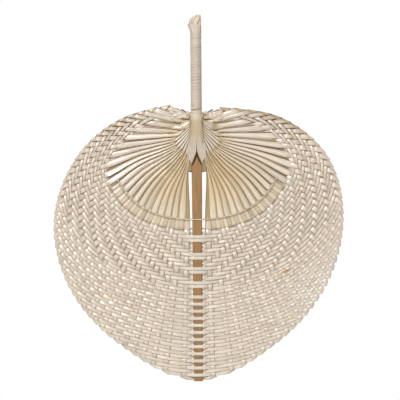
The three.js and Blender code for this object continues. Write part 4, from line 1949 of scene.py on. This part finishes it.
    def _tie(self, index: int, heights: Triple, face: Face) -> Ribbon:
        """A strip along the top edge, over and under the leaves.

        Args:
            index: Its place from the edge inwards.
            heights: Its heights at the collar, halfway and at its far end.
            face: The blade's face.

        Returns:
            The strip.
        """
        points, share = self._bent(*np.stack([self.tie_places, heights], axis=1))
        wave = np.cos(math.pi * (share * self.tie_waves + index))
        tone = float(self.shop.random.normal(0.0, self.tie_tone_spread))
        half = self.tie_half(share)
        return self._laid(
            points, self.tie_depth + self.tie_wave * wave, half, face,
            ridge=half * self.leaf_ridge, tone=tone, gold=self.tie_gold(share), rim=self.tie_rim,
        )


@dataclass
class HandleBundle:
    """One side's strips inside the handle, seen below the wrap and at the top.

    Cut ends are listed by where they leave the end band, where they end, how high and how far in front.
    """

    shop: Workshop
    side: Side
    low_z: float = -74.0
    high_z: float = -40.0
    half_wide: float = 6.5
    half_deep: float = 4.9
    count: int = 9
    rings: int = 14
    swell_z: Profile = Profile((-66, -52, -44), (1.0, 0.86, 0.74))
    overlap: float = 1.1
    half_thickness: float = 0.4
    ridge: float = 0.2
    tone_spread: float = 0.03
    gold: float = 0.45
    rim: float = 0.45
    ends: Pair = Pair(
        ((-5.3, -2.7, 48.0, 1.2), (-2.4, -0.6, 49.4, 2.4)),
        ((0.6, 1.9, 50.8, 2.0), (2.7, 2.9, 51.0, 3.0), (-1.6, 2.6, 48.2, 3.6)),
    )
    end_rings: int = 10
    end_low_z: float = 39.5
    end_half: Profile = Profile((0.6, 1.0), (2.6, 2.0))
    end_half_thickness: float = 0.6
    end_tone: float = -0.03
    end_gold: float = 0.2

    def build(self) -> None:
        """Lays strips round half of an oval, and adds the cut ends at the top."""
        ribbons = [self._upright_strip(index) for index in range(self.count)]
        ribbons += [self._cut_end(*end) for end in self.ends.at(self.side)]
        self.shop.piece(Slot.GATHER, f"handle_bundle_{self.side.name.lower()}", ribbons)

    def _upright_strip(self, index: int) -> Ribbon:
        """One strip of the neck's sleeve.

        Args:
            index: Its place from front to back.

        Returns:
            The strip.
        """
        turn = math.pi * (index + 0.5) / self.count
        wide, deep = self.side.value * math.sin(turn), -math.cos(turn)
        heights = np.linspace(self.high_z, self.low_z, self.rings)
        swell = self.swell_z(heights)
        path = np.stack([self.half_wide * swell * wide, self.half_deep * swell * deep, heights], axis=1)
        half = math.pi * self.half_wide / self.count / 2 * self.overlap
        tone = float(self.shop.random.normal(0.0, self.tone_spread))
        return Ribbon.along(
            path, np.array([wide, deep, 0.0]), half, self.half_thickness,
            tone=tone, gold=self.gold, ridge=self.ridge, rim=self.rim,
        )

    def _cut_end(self, low_x: float, high_x: float, high_z: float, depth: float) -> Ribbon:
        """A strip's cut end above the end band.

        Args:
            low_x: Where it leaves the band.
            high_x: Where it ends.
            high_z: How high it ends.
            depth: How far it lies towards the front.

        Returns:
            The strip's end.
        """
        share = np.linspace(0, 1, self.end_rings)
        heights = self.end_low_z + (high_z - self.end_low_z) * share
        path = in_space(np.stack([low_x + (high_x - low_x) * share, heights], axis=1), depth)
        tone = float(self.shop.random.normal(self.end_tone, self.tone_spread))
        half = self.end_half(share)
        return Ribbon.along(path, FRONT, half, self.end_half_thickness, tone=tone, gold=self.end_gold)


@dataclass
class HandleWrap:
    """The flat strip wound round the handle, and the smooth sleeve under it."""

    shop: Workshop
    low_z: float = -45.4
    pitch: float = 3.2
    turns: float = 24.6
    radius: float = 5.25
    half: float = 1.75
    half_thickness: float = 0.3
    steps_per_turn: int = 40
    tone_spread: float = 0.035
    gold: float = 0.2
    rims: tuple[float, ...] = (0.05, 0.2, 0.4, 2.6)
    roundness: float = 0.45
    sleeve_turns: float = 1.04
    sleeve_rings: int = 50
    sleeve_radii: Triple = (5.8, 5.3, 0.0)
    sleeve_z: float = -49.2
    sleeve_half: float = 4.4
    sleeve_tilt: Triple = (0.4, 0.1, 0.0)
    # Painted highlight: the sleeve is paler and less golden at its left and right sides.
    sleeve_tone: Profile = Profile((0.6, 0.9), (0.03, 0.12))
    sleeve_gold: Profile = Profile((0.6, 0.9), (0.1, 0.0))

    def build(self) -> None:
        """Winds the strip, whose lightness and brown edges change from turn to turn."""
        count = int(self.turns * self.steps_per_turn)
        angle = 2 * math.pi * np.arange(count + 1) / self.steps_per_turn
        turn = angle / (2 * math.pi)
        outward = ring_round(angle)
        path = outward * self.radius
        path[:, 2] = self.low_z + self.half + self.pitch * angle / (2 * math.pi)
        marks = np.arange(int(self.turns) + 2)
        tone = np.interp(turn, marks, self.shop.random.normal(0.0, self.tone_spread, len(marks)))
        rim = np.interp(turn, marks, self.shop.random.choice(self.rims, len(marks)))
        looks = {"tone": tone, "gold": self.gold, "rim": rim}
        wound = Ribbon.along(path, outward, self.half, self.half_thickness, **looks)
        self.shop.piece(Slot.WRAP, "handle_wrap", [wound, self._sleeve()], roundness=self.roundness)

    def _sleeve(self) -> Ribbon:
        """The smooth turn between the wrap and the neck, painted paler at its sides as a highlight.

        Returns:
            The sleeve.
        """
        angle = np.linspace(0, 2 * math.pi * self.sleeve_turns, self.sleeve_rings)
        outward = ring_round(angle)
        path = outward * self.sleeve_radii
        path[:, 2] = self.sleeve_z
        sideways = np.abs(np.cos(angle))
        # Painted highlight at the sleeve's sides.
        looks = {"tone": self.sleeve_tone(sideways), "gold": self.sleeve_gold(sideways), "rim": 0.0}
        sleeve = Ribbon.along(path, outward, self.sleeve_half, self.half_thickness, **looks)
        sleeve.across -= outward * self.sleeve_tilt
        return sleeve


@dataclass
class EndBand:
    """The smooth binding at the handle's top, which flares to the left."""

    shop: Workshop
    low_z: float = 33.4
    high_z: float = 41.4
    half: float = 5.5
    half_depth: float = 5.2
    depth_taper: float = 0.9
    flare: float = 2.9
    flare_curve: float = 1.4
    gold: float = 0.2
    rings: int = 14
    sides: int = 32
    roundness: float = 0.7

    def build(self) -> None:
        """Sweeps the band upwards as one oval solid."""
        share = np.linspace(0, 1, self.rings)
        level = np.zeros(self.rings)
        flare = self.flare * share**self.flare_curve
        path = np.stack([-flare / 2, level, self.low_z + (self.high_z - self.low_z) * share], axis=1)
        half = self.half + flare / 2
        band = Ribbon.along(path, FRONT, half, self.half_depth, gold=self.gold)
        band.across = np.stack([np.sign(band.across[:, 0]) * half, level, level], axis=1)
        band.through = np.stack([level, -self.half_depth + self.depth_taper * share, level], axis=1)
        self.shop.piece(Slot.WRAP, "end_band", [band], sides=self.sides, roundness=self.roundness)


@dataclass(frozen=True)
class Lamp:
    """A round area lamp, placed in metres and set in watts."""

    name: str
    place: Triple
    diameter: float
    power: float

    def build(self, target: Vector) -> None:
        """Adds the lamp.

        Args:
            target: What it looks at.
        """
        data = bpy.data.lights.new(self.name, "AREA")
        data.shape = "DISK"
        data.size = self.diameter
        data.energy = self.power
        lamp = bpy.data.objects.new(self.name, data)
        lamp.location = self.place
        lamp.visible_camera = False
        lamp.rotation_euler = (target - Vector(self.place)).to_track_quat("-Z", "Y").to_euler()
        scene.collection.objects.link(lamp)


@dataclass
class Studio:
    """Camera, lamps, floor and white background.

    The key lamp stands at the upper left in front, a large weak bounce at the lower right, and a rear lamp
    lights the fan's back.
    """

    view_centre: Double = (2.94, -134.0)
    view_size: float = 400.0
    distance: float = 3000.0
    roll: float = 0.46
    sensor: float = 36.0
    fill: float = 0.25
    fill_tint: Colour = (1.0, 0.95, 0.84, 1.0)
    lamps: tuple[Lamp, ...] = (
        Lamp("key", (-0.62, -1.85, 0.86), 0.7, 29.0),
        Lamp("bounce", (0.95, -1.5, -0.95), 1.2, 8.0),
        Lamp("rear", (0.55, 1.75, 0.75), 1.0, 14.0),
    )
    lamp_target: Triple = (0.0, 0.0, -0.14)
    floor_drop: float = 0.28
    floor_radius: float = 2.6
    floor_corners: int = 64
    floor_colour: Colour = srgb(246, 246, 246)
    floor_roughness: float = 0.9

    def build(self) -> None:
        """Sets the stage."""
        self._camera()
        self._world()
        for lamp in self.lamps:
            lamp.build(Vector(self.lamp_target))
        self._floor()
        scene.view_settings.view_transform = "Standard"

    def _camera(self) -> None:
        """A long lens in front of the blade, level, with the photograph's slight roll."""
        data = bpy.data.cameras.new("camera")
        data.sensor_width = self.sensor
        data.lens = self.sensor * self.distance / self.view_size
        camera = bpy.data.objects.new("camera", data)
        centre_x, centre_z = self.view_centre
        camera.location = (centre_x * MM, -self.distance * MM, centre_z * MM)
        camera.rotation_euler = (math.pi / 2, math.radians(self.roll), 0)
        scene.collection.objects.link(camera)
        scene.camera = camera

    def _world(self) -> None:
        """White to the camera and to reflections, and a softer fill on the object."""
        world = bpy.data.worlds.new("studio")
        world.use_nodes = True
        world.node_tree.nodes.clear()
        board = ShaderBoard(world.node_tree)
        rays = board.add("ShaderNodeLightPath").outputs
        seen = board.math("MAXIMUM", rays["Is Camera Ray"], rays["Is Transmission Ray"])
        seen = board.math("MAXIMUM", seen, rays["Is Glossy Ray"])
        strength = board.math("ADD", self.fill, board.math("MULTIPLY", seen, 1 - self.fill))
        tint = board.mixed(seen, self.fill_tint, WHITE)
        light = board.add("ShaderNodeBackground", {"Color": tint, "Strength": strength})
        board.add("ShaderNodeOutputWorld", {"Surface": light.outputs["Background"]})
        scene.world = world

    def _floor(self) -> None:
        """A pale floor below the fan."""
        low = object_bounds()[0]
        bpy.ops.mesh.primitive_circle_add(
            vertices=self.floor_corners, radius=self.floor_radius, fill_type="NGON",
            location=(0, 0, low.z - self.floor_drop),
        )
        floor = bpy.context.object
        floor.name = "floor"
        material = bpy.data.materials.new("pale_floor")
        material.use_nodes = True
        shader = material.node_tree.nodes["Principled BSDF"]
        shader.inputs["Base Color"].default_value = self.floor_colour
        shader.inputs["Roughness"].default_value = self.floor_roughness
        floor.data.materials.append(material)
        floor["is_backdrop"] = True


def main() -> None:
    """Builds the fan piece by piece, then the studio."""
    logging.basicConfig(level=logging.INFO, format="%(name)s %(message)s")
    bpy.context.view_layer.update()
    shop = Workshop()
    spine = Spine(shop)
    spine.build()
    WovenStrips(shop, spine).build()
    Strands(shop, spine).build()
    for side in Side:
        NeckGather(shop, side).build()
    for side in Side:
        HandleBundle(shop, side).build()
    HandleWrap(shop).build()
    EndBand(shop).build()
    Studio().build()


if __name__ == "__main__":
    main()
